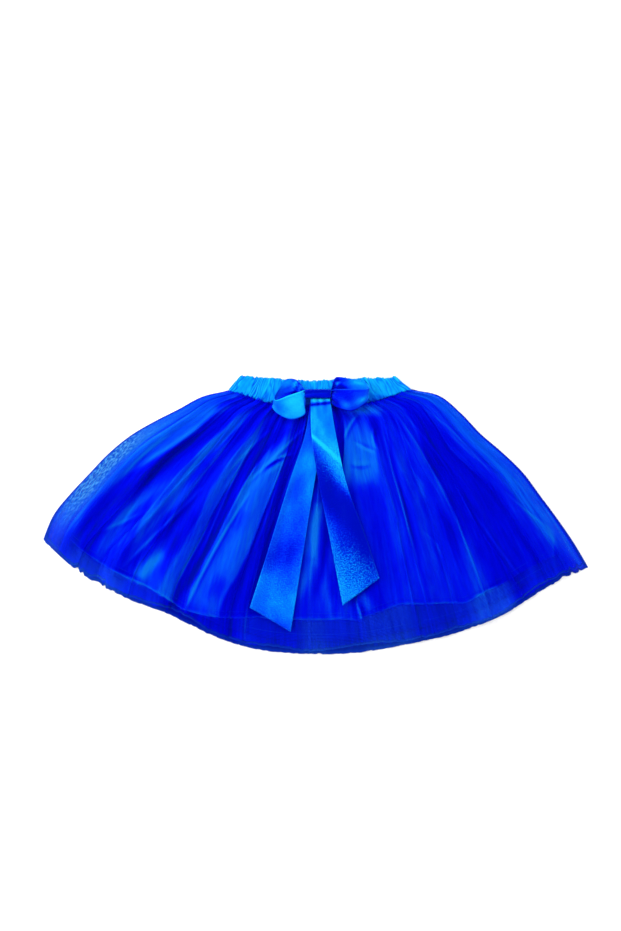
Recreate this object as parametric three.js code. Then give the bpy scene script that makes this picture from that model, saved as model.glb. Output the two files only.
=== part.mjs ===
// A child's tutu skirt laid flat on its back: a gathered satin waistband, a satin underskirt under a tulle
// overskirt, each a front and a back width, and a satin bow with two hanging tails on the front.
// Lengths are in millimetres. X runs across the skirt, Y from the hem to the waist and Z up from the surface.
import * as THREE from "three";

// Thickness of each cloth and the air between two plies that lie on each other
const TULLE_THICK = 1.3;
const SATIN_THICK = 1.2;
const BAND_THICK = 3;
const RIBBON_THICK = 1.2;
const PLY_GAP = 0.4;
const SEAM_GAP = 0.35;
const BAND_FRONT_UNDER = BAND_THICK + PLY_GAP;

// The laid-flat outline of the tulle, in equal steps: along the waist seam and the hem from left to right,
// and down each side from the seam to the hem
const SEAM_LINE = [
  { x: -100, y: 143 },
  { x: -50, y: 128 },
  { x: 4, y: 125 },
  { x: 58, y: 128 },
  { x: 110, y: 144 },
];
const HEM_LINE = [
  { x: -313.5, y: -29 },
  { x: -272, y: -65.5 },
  { x: -223, y: -93.5 },
  { x: -169, y: -114 },
  { x: -118, y: -139 },
  { x: -64, y: -155 },
  { x: -7, y: -159.8 },
  { x: 50, y: -158 },
  { x: 106, y: -148.5 },
  { x: 161, y: -136 },
  { x: 214, y: -115.5 },
  { x: 262, y: -86 },
  { x: 313.5, y: -60 },
];
const LEFT_SIDE = [
  { x: -100, y: 143 },
  { x: -130, y: 136 },
  { x: -157.5, y: 121.5 },
  { x: -186, y: 107 },
  { x: -213, y: 91 },
  { x: -238, y: 70.5 },
  { x: -260, y: 47.5 },
  { x: -282, y: 24 },
  { x: -301, y: 0 },
  { x: -313.5, y: -29 },
];
const RIGHT_SIDE = [
  { x: 110, y: 144 },
  { x: 142, y: 137 },
  { x: 167.5, y: 116.5 },
  { x: 190, y: 93 },
  { x: 215, y: 71.5 },
  { x: 238.5, y: 48.5 },
  { x: 258, y: 22.5 },
  { x: 278, y: -4.5 },
  { x: 296.5, y: -31.5 },
  { x: 313.5, y: -60 },
];
const BAND_TOP_LINE = [
  { x: -86, y: 160 },
  { x: -43, y: 156 },
  { x: 2, y: 154 },
  { x: 48, y: 157 },
  { x: 92, y: 157.5 },
];

// Where the satin underskirt lies inside the tulle: its side edges across the skirt, from 0 at the left to 1, and
// how far down its hems reach, from 0 at the seam to 1 at the tulle's hem, in equal steps across
const SATIN_LEFT = 0.05;
const SATIN_RIGHT = 0.97;
const SATIN_FRONT_REACH = [
  { down: 0.92 },
  { down: 0.925 },
  { down: 0.95 },
  { down: 0.915 },
  { down: 0.888 },
  { down: 0.878 },
  { down: 0.888 },
  { down: 0.9 },
  { down: 0.905 },
];
const SATIN_BACK_REACH = [{ down: 0.94 }, { down: 0.958 }, { down: 0.945 }];

// The front tulle's raw hem is a little shorter than the back one and cut unevenly
const TULLE_FRONT_REACH = 0.982;
const TULLE_HEM_UNEVEN = { by: 0.009, waves: 29, beats: 11 };

// Gathers drawn up at the waist seam, which die out down the skirt, and ribs of the elastic waistband, counted
// across one width. Every second gather opens into a ruffle wave at the tulle's hem.
const GATHERS = 24;
const GATHER_TALL = 1.9;
const GATHER_ENDS = 0.42;
const BACK_GATHER_TALL = 0.7;
const HEM_WAVE_TALL = 1.3;
const HEM_WAVE_STARTS = 0.6;
const BAND_RIBS = 32;
const RIB_TALL = 1.2;
const RIB_TALL_AT_SEAM = 0.55;
const BAND_END = 0.05;

// How far the front widths bell up over the back ones in the middle of the skirt, how soon below the seam and
// in from the side they do, and the share that they lose again towards the hem
const SATIN_LOFT = 2.2;
const TULLE_LOFT = 1.6;
const LOFT_BY = 0.32;
const SATIN_LOFT_IN = 0.07;
const HEM_SETTLE = 0.3;
const HEM_SETTLE_STARTS = 0.75;

// A fold is narrower and lower at the seam, by these shares, and has its full height this far down
const FOLD_WIDE_AT_SEAM = 0.55;
const FOLD_TALL_AT_SEAM = 0.3;
const FOLD_FULL_BY = 0.45;

// The large folds of each front width. A fold runs from place "seam" at the waist to place "hem", both from 0 to
// 1 across the skirt, "wide" is half its width there, and "tall" its height in millimetres.
const SATIN_FOLDS = [
  { seam: 0.1, hem: 0.09, wide: 0.028, tall: 3.2 },
  { seam: 0.19, hem: 0.155, wide: 0.034, tall: 4.2 },
  { seam: 0.27, hem: 0.22, wide: 0.024, tall: 2.6 },
  { seam: 0.4, hem: 0.318, wide: 0.05, tall: 5.4 },
  { seam: 0.512, hem: 0.503, wide: 0.034, tall: 2.2 },
  { seam: 0.61, hem: 0.628, wide: 0.04, tall: 3.4 },
  { seam: 0.7, hem: 0.705, wide: 0.03, tall: 3 },
  { seam: 0.79, hem: 0.785, wide: 0.036, tall: 4.4 },
  { seam: 0.87, hem: 0.865, wide: 0.028, tall: 3.2 },
  { seam: 0.93, hem: 0.93, wide: 0.026, tall: 2.8 },
];
const TULLE_FOLDS = [
  { seam: 0.055, hem: 0.052, wide: 0.026, tall: 3.2 },
  { seam: 0.118, hem: 0.088, wide: 0.026, tall: 3 },
  { seam: 0.178, hem: 0.14, wide: 0.026, tall: 4 },
  { seam: 0.22, hem: 0.19, wide: 0.022, tall: 2.4 },
  { seam: 0.275, hem: 0.243, wide: 0.026, tall: 4.6 },
  { seam: 0.345, hem: 0.29, wide: 0.024, tall: 2.6 },
  { seam: 0.43, hem: 0.375, wide: 0.022, tall: 3.4 },
  { seam: 0.68, hem: 0.672, wide: 0.022, tall: 2.2 },
  { seam: 0.76, hem: 0.712, wide: 0.024, tall: 4.4 },
  { seam: 0.81, hem: 0.814, wide: 0.026, tall: 4.2 },
  { seam: 0.87, hem: 0.875, wide: 0.026, tall: 4.4 },
  { seam: 0.92, hem: 0.945, wide: 0.026, tall: 3.8 },
];

// The bow. Each row of a wing is one line across its ribbon, from the knot out to the tip and back again.
const LEFT_WING = [
  { topX: -12.4, topY: 144.2, topZ: 10.4, lowX: -12.4, lowY: 136, lowZ: 9.9 },
  { topX: -22, topY: 155, topZ: 11.2, lowX: -24, lowY: 131, lowZ: 10.2 },
  { topX: -35.5, topY: 154.6, topZ: 11.6, lowX: -40, lowY: 128, lowZ: 11 },
  { topX: -45.5, topY: 138.5, topZ: 14, lowX: -49.2, lowY: 124.5, lowZ: 13 },
  { topX: -45, topY: 131.5, topZ: 17.6, lowX: -43, lowY: 116, lowZ: 14.4 },
  { topX: -31, topY: 136.5, topZ: 19.4, lowX: -28, lowY: 109.6, lowZ: 14.2 },
  { topX: -19, topY: 140.6, topZ: 17.8, lowX: -13.2, lowY: 114.6, lowZ: 13.4 },
  { topX: -15.4, topY: 142.2, topZ: 16, lowX: -12.6, lowY: 123, lowZ: 13 },
  { topX: -12.4, topY: 143, topZ: 14.6, lowX: -12.4, lowY: 132, lowZ: 12.8 },
];
const RIGHT_WING = [
  { topX: 18.2, topY: 144.2, topZ: 10.4, lowX: 18.2, lowY: 138, lowZ: 9.9 },
  { topX: 23, topY: 157.5, topZ: 11.4, lowX: 26, lowY: 137, lowZ: 10.2 },
  { topX: 39, topY: 156.4, topZ: 11.2, lowX: 42, lowY: 134.6, lowZ: 10.4 },
  { topX: 54, topY: 153.4, topZ: 11.8, lowX: 57, lowY: 135, lowZ: 11.2 },
  { topX: 60.4, topY: 148, topZ: 14.4, lowX: 61, lowY: 134, lowZ: 13.4 },
  { topX: 58.5, topY: 144.4, topZ: 18, lowX: 55, lowY: 126.5, lowZ: 15 },
  { topX: 40, topY: 144.2, topZ: 19.8, lowX: 41, lowY: 118.8, lowZ: 14.6 },
  { topX: 25, topY: 143.8, topZ: 17.4, lowX: 24, lowY: 123.4, lowZ: 13.4 },
  { topX: 18.2, topY: 143, topZ: 14.6, lowX: 18.2, lowY: 129, lowZ: 12.6 },
];
const WING_CROWN = 1.6;
const KNOT = { left: -12, right: 17.8, low: 133.6, high: 144.4, under: 8, over: 17.6, round: 2.2 };

// The tails hang from the knot, and bridge the hollows between the skirt's folds that are closer than this.
// "lift" holds the right tail clear of the left one, which it crosses.
const TAIL_BRIDGES = 10;
const TAIL_START = 133.2;
const RIGHT_TAIL = [
  { leftX: -5.5, leftY: TAIL_START, rightX: 16.5, rightY: TAIL_START, lift: 2.9 },
  { leftX: -4.6, leftY: 92, rightX: 24, rightY: 88, lift: 2.6 },
  { leftX: 3, leftY: 40, rightX: 36, rightY: 34, lift: 2 },
  { leftX: 17.5, leftY: -32, rightX: 56, rightY: -20, lift: 0.6 },
  { leftX: 31, leftY: -103, rightX: 73, rightY: -72, lift: 0.5 },
];
const LEFT_TAIL = [
  { leftX: -6, leftY: TAIL_START, rightX: 14, rightY: TAIL_START, lift: 0.5 },
  { leftX: -12, leftY: 92, rightX: 12, rightY: 88, lift: 0.5 },
  { leftX: -31, leftY: 34, rightX: 0.5, rightY: 46, lift: 0.5 },
  { leftX: -54, leftY: -40, rightX: -12, rightY: -30, lift: 0.5 },
  { leftX: -75, leftY: -105.5, rightX: -28.5, rightY: -133.5, lift: 0.5 },
];

const TULLE_BLUE = new THREE.MeshStandardMaterial({ color: 0x0522e6, roughness: 0.8, metalness: 0 });
const SATIN_BLUE = new THREE.MeshStandardMaterial({ color: 0x0533f0, roughness: 0.4, metalness: 0 });
const BAND_BLUE = new THREE.MeshStandardMaterial({ color: 0x0690f4, roughness: 0.38, metalness: 0 });
const RIBBON_BLUE = new THREE.MeshStandardMaterial({ color: 0x0578f8, roughness: 0.34, metalness: 0 });

// A smooth line through rows of x and y, taken from 0 at the first row to 1 at the last
function lineThrough(rows) {
  const points = rows.map((row) => new THREE.Vector3(row.x, row.y, 0));
  const curve = new THREE.CatmullRomCurve3(points, false, "catmullrom", 0.5);
  return (share) => curve.getPoint(THREE.MathUtils.clamp(share, 0, 1));
}

const seamLine = lineThrough(SEAM_LINE);
const hemLine = lineThrough(HEM_LINE);
const leftSide = lineThrough(LEFT_SIDE);
const rightSide = lineThrough(RIGHT_SIDE);
const bandTopLine = lineThrough(BAND_TOP_LINE);
const satinFrontReach = reachThrough(SATIN_FRONT_REACH);
const satinBackReach = reachThrough(SATIN_BACK_REACH);

// How far down a hem reaches at a place across, through rows in equal steps
function reachThrough(rows) {
  const line = lineThrough(rows.map((row) => ({ x: 0, y: row.down })));
  return (across) => line(across).y;
}

function tulleFrontReach(across) {
  const { by, waves, beats } = TULLE_HEM_UNEVEN;
  return TULLE_FRONT_REACH + by * Math.sin(waves * across) * Math.cos(beats * across);
}

const mix = THREE.MathUtils.lerp;
const ease = THREE.MathUtils.smoothstep;
const wave = (turns) => 0.5 - 0.5 * Math.cos(2 * Math.PI * turns);

// The plan of the skirt: a patch between the four lines, "across" from left to right, "down" from seam to hem
function planPoint(across, down) {
  const point = new THREE.Vector3();
  point.addScaledVector(seamLine(across), 1 - down);
  point.addScaledVector(hemLine(across), down);
  point.addScaledVector(leftSide(down), 1 - across);
  point.addScaledVector(rightSide(down), across);
  point.addScaledVector(seamLine(0), -(1 - across) * (1 - down));
  point.addScaledVector(seamLine(1), -across * (1 - down));
  point.addScaledVector(hemLine(0), -(1 - across) * down);
  point.addScaledVector(hemLine(1), -across * down);
  return point;
}

// The place in the plan, across and down, of a point in millimetres, by Newton's steps from the middle. The
// steps are a little short of full, which keeps them from running out of the plan.
function placeInPlan(x, y) {
  const nudge = 1e-3;
  const stepShare = 0.7;
  let across = 0.5;
  let down = 0.5;
  for (let step = 0; step < 25; step++) {
    const here = planPoint(across, down);
    const perAcross = planPoint(across + nudge, down).sub(here).divideScalar(nudge);
    const perDown = planPoint(across, down + nudge).sub(here).divideScalar(nudge);
    const missX = x - here.x;
    const missY = y - here.y;
    const area = perAcross.x * perDown.y - perAcross.y * perDown.x;
    across += (stepShare * (missX * perDown.y - missY * perDown.x)) / area;
    down += (stepShare * (perAcross.x * missY - perAcross.y * missX)) / area;
    across = THREE.MathUtils.clamp(across, 0, 1 - nudge);
    down = THREE.MathUtils.clamp(down, 0, 1 - nudge);
  }
  return { across, down };
}

// Where each gather begins, from 0 to 1 across. Two waves out of step with the count make them uneven.
const gatherStarts = unevenSteps(GATHERS);

function unevenSteps(count) {
  const starts = [0];
  for (let k = 0; k < count; k++) {
    const width = 1 + 0.28 * Math.sin(2.3 * k + 0.4) + 0.17 * Math.sin(5.1 * k + 1);
    starts.push(starts[k] + width);
  }
  return starts.map((start) => start / starts[count]);
}

// How many gathers lie left of a place, with its share of the gather that it is in
function gathersLeftOf(across) {
  const place = THREE.MathUtils.clamp(across, 0, 1);
  let k = 0;
  while (k < GATHERS - 1 && gatherStarts[k + 1] <= place) k++;
  return k + (place - gatherStarts[k]) / (gatherStarts[k + 1] - gatherStarts[k]);
}

// The height that a table of folds adds at a place
function foldHeight(folds, across, down) {
  let height = 0;
  for (const fold of folds) {
    const middle = mix(fold.seam, fold.hem, down);
    const halfWide = fold.wide * mix(FOLD_WIDE_AT_SEAM, 1, down);
    const off = Math.abs(across - middle) / halfWide;
    if (off < 1) height += fold.tall * wave(0.5 - 0.5 * off);
  }
  return height * mix(FOLD_TALL_AT_SEAM, 1, ease(down, 0, FOLD_FULL_BY));
}

const settled = (down) => 1 - HEM_SETTLE * ease(down, HEM_SETTLE_STARTS, 1);

// The top face of each ply of the skirt, from the surface up. The front tulle comes down on to the back tulle
// at its sides, just outside the satin.
function tulleBackTop(across) {
  return TULLE_THICK + BACK_GATHER_TALL * wave(gathersLeftOf(across));
}

function satinBackTop(across) {
  return tulleBackTop(across) + PLY_GAP + SATIN_THICK;
}

function satinFrontTop(across, down) {
  const inFromLeft = ease(across, SATIN_LEFT, SATIN_LEFT + SATIN_LOFT_IN);
  const inFromRight = ease(1 - across, 1 - SATIN_RIGHT, 1 - SATIN_RIGHT + SATIN_LOFT_IN);
  const bell = SATIN_LOFT * ease(down, 0, LOFT_BY) + foldHeight(SATIN_FOLDS, across, down);
  return satinBackTop(across) + PLY_GAP + SATIN_THICK + bell * inFromLeft * inFromRight * settled(down);
}

function tulleFrontTop(across, down) {
  const clear = 0.004;
  const rise = ease(across, 0, SATIN_LEFT - clear) * ease(1 - across, 0, 1 - SATIN_RIGHT - clear);
  const gathers = GATHER_TALL * wave(gathersLeftOf(across)) * (1 - ease(down, 0, GATHER_ENDS));
  const hemWaves = HEM_WAVE_TALL * wave(gathersLeftOf(across) / 2) * ease(down, HEM_WAVE_STARTS, 1);
  const bell = TULLE_LOFT * ease(down, 0, LOFT_BY) + foldHeight(TULLE_FOLDS, across, down) + hemWaves;
  const overSatin = satinFrontTop(across, down) + bell * settled(down) + gathers;
  return mix(tulleBackTop(across), overSatin, rise) + PLY_GAP + TULLE_THICK;
}

// The waistband's plan, "up" from 0 at the seam to 1 at its top edge
function bandPoint(across, up) {
  const low = seamLine(across).add(new THREE.Vector3(0, SEAM_GAP, 0));
  return low.lerp(bandTopLine(across), up);
}

// The waistband is full thickness but for its two ends, which round off over a short stretch
function roundedEnd(across) {
  const fromEnd = Math.min(across, 1 - across) / BAND_END;
  return fromEnd < 1 ? Math.sqrt(1 - (1 - fromEnd) ** 2) : 1;
}

const bandThickness = (across) => mix(SATIN_THICK, BAND_THICK, roundedEnd(across));

function bandFrontTop(across, up) {
  const ribs = RIB_TALL * wave(BAND_RIBS * across) * mix(RIB_TALL_AT_SEAM, 1, up);
  return BAND_FRONT_UNDER + bandThickness(across) + ribs * roundedEnd(across);
}

// A closed wall between two faces. point(column, row, outer) gives a point of the outer or of the inner face,
// and rows run so that the outer face looks up.
function clothWall(name, columns, rows, point, material) {
  const corners = [];
  for (const outer of [true, false]) {
    for (let row = 0; row <= rows; row++) {
      for (let column = 0; column <= columns; column++) corners.push(...point(column, row, outer).toArray());
    }
  }
  const perRow = columns + 1;
  const inner = perRow * (rows + 1);
  const faces = [];
  const addQuad = (a, b, c, d) => faces.push(a, b, c, a, c, d);
  for (let row = 0; row < rows; row++) {
    for (let column = 0; column < columns; column++) {
      const near = row * perRow + column;
      const far = near + perRow;
      addQuad(near, far, far + 1, near + 1);
      addQuad(near + inner, near + 1 + inner, far + 1 + inner, far + inner);
    }
  }
  const rim = [];
  for (let column = 0; column < columns; column++) rim.push(column);
  for (let row = 0; row < rows; row++) rim.push(row * perRow + columns);
  for (let column = columns; column > 0; column--) rim.push(rows * perRow + column);
  for (let row = rows; row > 0; row--) rim.push(row * perRow);
  rim.forEach((from, k) => {
    const to = rim[(k + 1) % rim.length];
    addQuad(from, to, to + inner, from + inner);
  });
  const geometry = new THREE.BufferGeometry();
  geometry.setAttribute("position", new THREE.Float32BufferAttribute(corners, 3));
  geometry.setIndex(faces);
  geometry.computeVertexNormals();
  const mesh = new THREE.Mesh(geometry, material);
  mesh.name = name;
  return mesh;
}

// The places across where a width's walls have their columns: so many to each gather, and its two side edges
function gatherColumns(perGather, from, to) {
  const places = [from];
  for (let k = 0; k < GATHERS; k++) {
    for (let part = 0; part < perGather; part++) {
      const place = mix(gatherStarts[k], gatherStarts[k + 1], part / perGather);
      if (place > from && place < to) places.push(place);
    }
  }
  return [...places, to];
}

const FRONT = { perGather: 4, rows: [0, 0.05, 0.14, 0.27, 0.42, 0.58, 0.74, 0.88, 1] };
const BACK = { perGather: 2, rows: [0, 0.14, 0.34, 0.56, 0.78, 1] };

// One width of the skirt: "top" and "under" give the heights of its faces, "reach" how far down its hem lies
function skirtWidth(name, grid, { from, to, reach, top, under }, material) {
  const places = gatherColumns(grid.perGather, from, to);
  const point = (column, row, outer) => {
    const across = places[column];
    const down = grid.rows[row] * reach(across);
    const place = planPoint(across, down);
    place.z = outer ? top(across, down) : under(across, down);
    return place;
  };
  return clothWall(name, places.length - 1, grid.rows.length - 1, point, material);
}

function tulleBack() {
  const shape = { from: 0, to: 1, reach: () => 1, top: tulleBackTop, under: () => 0 };
  return skirtWidth("tulle_back", BACK, shape, TULLE_BLUE);
}

function tulleFront() {
  const under = (across, down) => tulleFrontTop(across, down) - TULLE_THICK;
  const shape = { from: 0, to: 1, reach: tulleFrontReach, top: tulleFrontTop, under };
  return skirtWidth("tulle_front", FRONT, shape, TULLE_BLUE);
}

function satinWidth(name, grid, reach, top) {
  const under = (across, down) => top(across, down) - SATIN_THICK;
  return skirtWidth(name, grid, { from: SATIN_LEFT, to: SATIN_RIGHT, reach, top, under }, SATIN_BLUE);
}

// One ply of the waistband, whose rows run down from its top edge to the seam
function bandPly(name, columns, rows, top, underside) {
  const point = (column, row, outer) => {
    const across = column / columns;
    const up = 1 - row / rows;
    const place = bandPoint(across, up);
    place.z = outer ? top(across, up) : underside;
    return place;
  };
  return clothWall(name, columns, rows, point, BAND_BLUE);
}

const smoothThrough = (points) => new THREE.CatmullRomCurve3(points, false, "catmullrom", 0.5);

// A wing of the bow: a ribbon's wall through its cross lines, with half the thickness on either side of them.
// The front leaf, the second half of the way, is crowned.
function wing(name, table) {
  const tops = smoothThrough(table.map((row) => new THREE.Vector3(row.topX, row.topY, row.topZ)));
  const lows = smoothThrough(table.map((row) => new THREE.Vector3(row.lowX, row.lowY, row.lowZ)));
  const lineAt = (share, along) => {
    const place = tops.getPoint(along).lerp(lows.getPoint(along), share);
    place.z += WING_CROWN * Math.sin(Math.PI * share) * Math.sin(2 * Math.PI * Math.max(0, along - 0.5));
    return place;
  };
  const columns = 5;
  const rows = 3 * (table.length - 1);
  const nudge = 1e-3;
  const point = (column, row, outer) => {
    const share = column / columns;
    const along = row / rows;
    const shareEnd = Math.min(share + nudge, 1);
    const alongEnd = Math.min(along + nudge, 1);
    const sideways = lineAt(shareEnd, along).sub(lineAt(shareEnd - nudge, along));
    const onwards = lineAt(share, alongEnd).sub(lineAt(share, alongEnd - nudge));
    const normal = onwards.cross(sideways).normalize();
    // The ends are cut square against the knot
    if (row === 0 || row === rows) normal.setX(0).normalize();
    return lineAt(share, along).addScaledVector(normal, (outer ? 0.5 : -0.5) * RIBBON_THICK);
  };
  return clothWall(name, columns, rows, point, RIBBON_BLUE);
}

// The height of the highest point of the front tulle within a tail's stiff reach of a place
function crestNear(x, y) {
  let height = 0;
  for (const offX of [-1, -0.5, 0, 0.5, 1]) {
    for (const offY of [-1, 0, 1]) {
      const { across, down } = placeInPlan(x + offX * TAIL_BRIDGES, y + offY * TAIL_BRIDGES);
      height = Math.max(height, tulleFrontTop(across, down));
    }
  }
  return height;
}

function tail(name, table) {
  const lefts = smoothThrough(table.map((row) => new THREE.Vector3(row.leftX, row.leftY, row.lift)));
  const rights = smoothThrough(table.map((row) => new THREE.Vector3(row.rightX, row.rightY, row.lift)));
  const columns = 4;
  const rows = 4 * (table.length - 1);
  const point = (column, row, outer) => {
    const place = lefts.getPoint(row / rows).lerp(rights.getPoint(row / rows), column / columns);
    place.z += crestNear(place.x, place.y) + (outer ? RIBBON_THICK : 0);
    return place;
  };
  return clothWall(name, columns, rows, point, RIBBON_BLUE);
}

// The band of ribbon wrapped round the middle of the bow: its section runs along X, with bevelled edges
function knot() {
  const { left, right, low, high, under, over, round } = KNOT;
  const halfDeep = (high - low) / 2 - round;
  const halfTall = (over - under) / 2 - round;
  const section = new THREE.Shape();
  section.moveTo(-halfDeep, -halfTall);
  section.lineTo(halfDeep, -halfTall);
  section.lineTo(halfDeep, halfTall);
  section.lineTo(-halfDeep, halfTall);
  section.closePath();
  const depth = right - left - 2 * round;
  const bevel = { bevelEnabled: true, bevelSegments: 3, bevelSize: round, bevelThickness: round };
  const geometry = new THREE.ExtrudeGeometry(section, { depth, ...bevel });
  geometry.translate(0, 0, -depth / 2);
  geometry.rotateX(Math.PI / 2);
  geometry.rotateZ(Math.PI / 2);
  const mesh = new THREE.Mesh(geometry, RIBBON_BLUE);
  mesh.name = "bow_knot";
  mesh.position.set((left + right) / 2, (low + high) / 2, (under + over) / 2);
  return mesh;
}

const skirt = new THREE.Group();
skirt.add(tulleBack());
skirt.add(satinWidth("satin_back", BACK, satinBackReach, satinBackTop));
skirt.add(satinWidth("satin_front", FRONT, satinFrontReach, satinFrontTop));
skirt.add(tulleFront());

const waistband = new THREE.Group();
waistband.add(bandPly("waistband_back", BAND_RIBS, 2, bandThickness, 0));
waistband.add(bandPly("waistband_front", 4 * BAND_RIBS, 3, bandFrontTop, BAND_FRONT_UNDER));

const bow = new THREE.Group();
bow.add(wing("bow_wing_left", LEFT_WING));
bow.add(wing("bow_wing_right", RIGHT_WING));
bow.add(knot());
bow.add(tail("bow_tail_left", LEFT_TAIL));
bow.add(tail("bow_tail_right", RIGHT_TAIL));

const tutu = new THREE.Group();
tutu.add(skirt, waistband, bow);

export default tutu;
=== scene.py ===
# The looks of a child's tutu skirt laid flat: sheer pleated tulle over a satin underskirt, a gathered satin
# waistband and a satin ribbon bow with two tails. Sizes are in millimetres, and meshes are scaled to
# metres.
import math

import bpy
import numpy as np
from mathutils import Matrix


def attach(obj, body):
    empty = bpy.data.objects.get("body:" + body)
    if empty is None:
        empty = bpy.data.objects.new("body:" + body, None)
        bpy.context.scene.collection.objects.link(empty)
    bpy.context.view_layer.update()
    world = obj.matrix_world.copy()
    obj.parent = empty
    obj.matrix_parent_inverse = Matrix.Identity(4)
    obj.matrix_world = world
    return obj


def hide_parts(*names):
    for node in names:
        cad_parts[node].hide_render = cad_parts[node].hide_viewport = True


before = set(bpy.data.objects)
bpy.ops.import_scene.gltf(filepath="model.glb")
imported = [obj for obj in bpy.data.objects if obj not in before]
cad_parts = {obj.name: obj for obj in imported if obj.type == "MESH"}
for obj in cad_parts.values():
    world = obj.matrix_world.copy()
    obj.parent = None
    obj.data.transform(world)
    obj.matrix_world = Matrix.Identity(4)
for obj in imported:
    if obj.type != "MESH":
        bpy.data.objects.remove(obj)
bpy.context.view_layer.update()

MM = .001

# Thickness of each cloth as the construction has it, and the finer one that shows
TULLE_THICK = 1.3
SATIN_THICK = 1.2
BAND_THICK = 3.0
PLY_GAP = .4
SEAM_GAP = .35
BAND_FRONT_UNDER = BAND_THICK + PLY_GAP
SATIN_SHOWN = .45
RIBBON_SHOWN = .5

# The laid-flat outline, x and y in equal steps
SEAM_LINE = [(-100, 143), (-50, 128), (4, 125), (58, 128), (110, 144)]
HEM_LINE = [(-313.5, -29), (-272, -65.5), (-223, -93.5), (-169, -114), (-118, -139), (-64, -155),
            (-7, -159.8), (50, -158), (106, -148.5), (161, -136), (214, -115.5), (262, -86),
            (313.5, -60)]
LEFT_SIDE = [(-100, 143), (-130, 136), (-157.5, 121.5), (-186, 107), (-213, 91), (-238, 70.5),
             (-260, 47.5), (-282, 24), (-301, 0), (-313.5, -29)]
RIGHT_SIDE = [(110, 144), (142, 137), (167.5, 116.5), (190, 93), (215, 71.5), (238.5, 48.5),
              (258, 22.5), (278, -4.5), (296.5, -31.5), (313.5, -60)]
BAND_TOP_LINE = [(-86, 160), (-43, 156), (2, 154), (48, 157), (92, 157.5)]

# The satin's side edges, how far down the hems reach, how wide the turned hem is, where the painted highlight
# line on the hem fades across, and where down the skirt the net beside the satin comes into sight
SATIN_LEFT = .05
SATIN_RIGHT = .97
SATIN_FRONT_HEM = [  # place across, how far down: the corners of the hem where the folds break it
    (.05, .92), (.133, .927), (.199, .931), (.272, .962), (.3, .95), (.364, .921), (.409, .896),
    (.475, .889), (.556, .887), (.588, .895), (.598, .885), (.667, .862), (.743, .889), (.781, .911),
    (.822, .898), (.97, .905),
]
SATIN_BACK_REACH = [.94, .958, .945]
HEM_WIDE = .022
HEM_LINE_FADES = (.83, .86)
BESIDE_SATIN = (.82, 1.0)
TULLE_FRONT_REACH = .982
TULLE_HEM_UNEVEN = {"by": .009, "waves": 29, "beats": 11}

# Gathers, lofts and folds of the construction, which every cloth here follows
GATHERS = 24
GATHER_TALL = 1.9
GATHER_ENDS = .42
BACK_GATHER_TALL = .7
HEM_WAVE_TALL = 1.3
HEM_WAVE_STARTS = .6
SATIN_LOFT = 2.2
TULLE_LOFT = 1.6
LOFT_BY = .32
SATIN_LOFT_IN = .07
HEM_SETTLE = .3
HEM_SETTLE_STARTS = .75
FOLD_WIDE_AT_SEAM = .55
FOLD_TALL_AT_SEAM = .3
FOLD_FULL_BY = .45
SATIN_FOLDS = [  # place at the seam, place at the hem, half width, height
    (.1, .09, .028, 3.2), (.19, .155, .034, 4.2), (.27, .22, .024, 2.6), (.4, .318, .05, 5.4),
    (.512, .503, .034, 2.2), (.61, .628, .04, 3.4), (.7, .705, .03, 3), (.79, .785, .036, 4.4),
    (.87, .865, .028, 3.2), (.93, .93, .026, 2.8),
]
TULLE_FOLDS = [
    (.055, .052, .026, 3.2), (.118, .088, .026, 3), (.178, .14, .026, 4), (.22, .19, .022, 2.4),
    (.275, .243, .026, 4.6), (.345, .29, .024, 2.6), (.43, .375, .022, 3.4), (.68, .672, .022, 2.2),
    (.76, .712, .024, 4.4), (.81, .814, .026, 4.2), (.87, .875, .026, 4.4), (.92, .945, .026, 3.8),
]

# The cut cloth's width at the hem and its length, in metres
CUT_WIDE = .75
CUT_LONG = .28

# How far down the skirt the four places of a pleat, crease or band are given
WAIST, UPPER, LOWER, HEM = .06, .34, .64, .94

# Pleats of the front tulle, where the net is folded over itself: four places across, width, and the side
# that the top fold points to
PLEATS = [
    ((.04, .05, .046, .042), .012, -1), ((.122, .122, .1, .075), .01, 1),
    ((.16, .178, .16, .125), .014, -1), ((.205, .222, .2, .175), .008, 1),
    ((.275, .285, .263, .24), .024, 1), ((.335, .332, .306, .28), .006, -1),
    ((.415, .4, .376, .356), .009, 1), ((.455, .425, .4, .388), .006, 1),
    ((.54, .516, .505, .502), .006, -1), ((.605, .58, .588, .592), .008, -1),
    ((.7, .693, .687, .688), .007, 1), ((.765, .718, .708, .712), .006, 1),
    ((.8, .775, .765, .762), .009, -1), ((.83, .818, .817, .813), .008, 1),
    ((.878, .848, .85, .876), .006, 1), ((.915, .898, .925, .935), .008, -1),
    ((.95, .948, .96, .966), .006, -1),
]
PLEAT_PLY = .3
PLEAT_WIDE_AT_WAIST = .45
PLEAT_WIDE_LOW = 1.1

# Creases of the satin that show through the tulle, with a sharp rise on one side and a long fall on the
# other: four places across, width of the rise, width of the fall, side of the fall and height
CREASES = [
    ((.17, .2, .165, .138), .004, .03, 1, 1.4), ((.405, .33, .303, .277), .003, .05, 1, 2.4),
    ((.41, .402, .377, .355), .004, .025, -1, 1.6), ((.6, .58, .588, .592), .003, .05, 1, 1.8),
    ((.705, .695, .69, .69), .005, .04, -1, 1.2), ((.79, .75, .735, .74), .005, .03, -1, 1.2),
    ((.87, .83, .83, .82), .005, .03, -1, 1.4),
]
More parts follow.
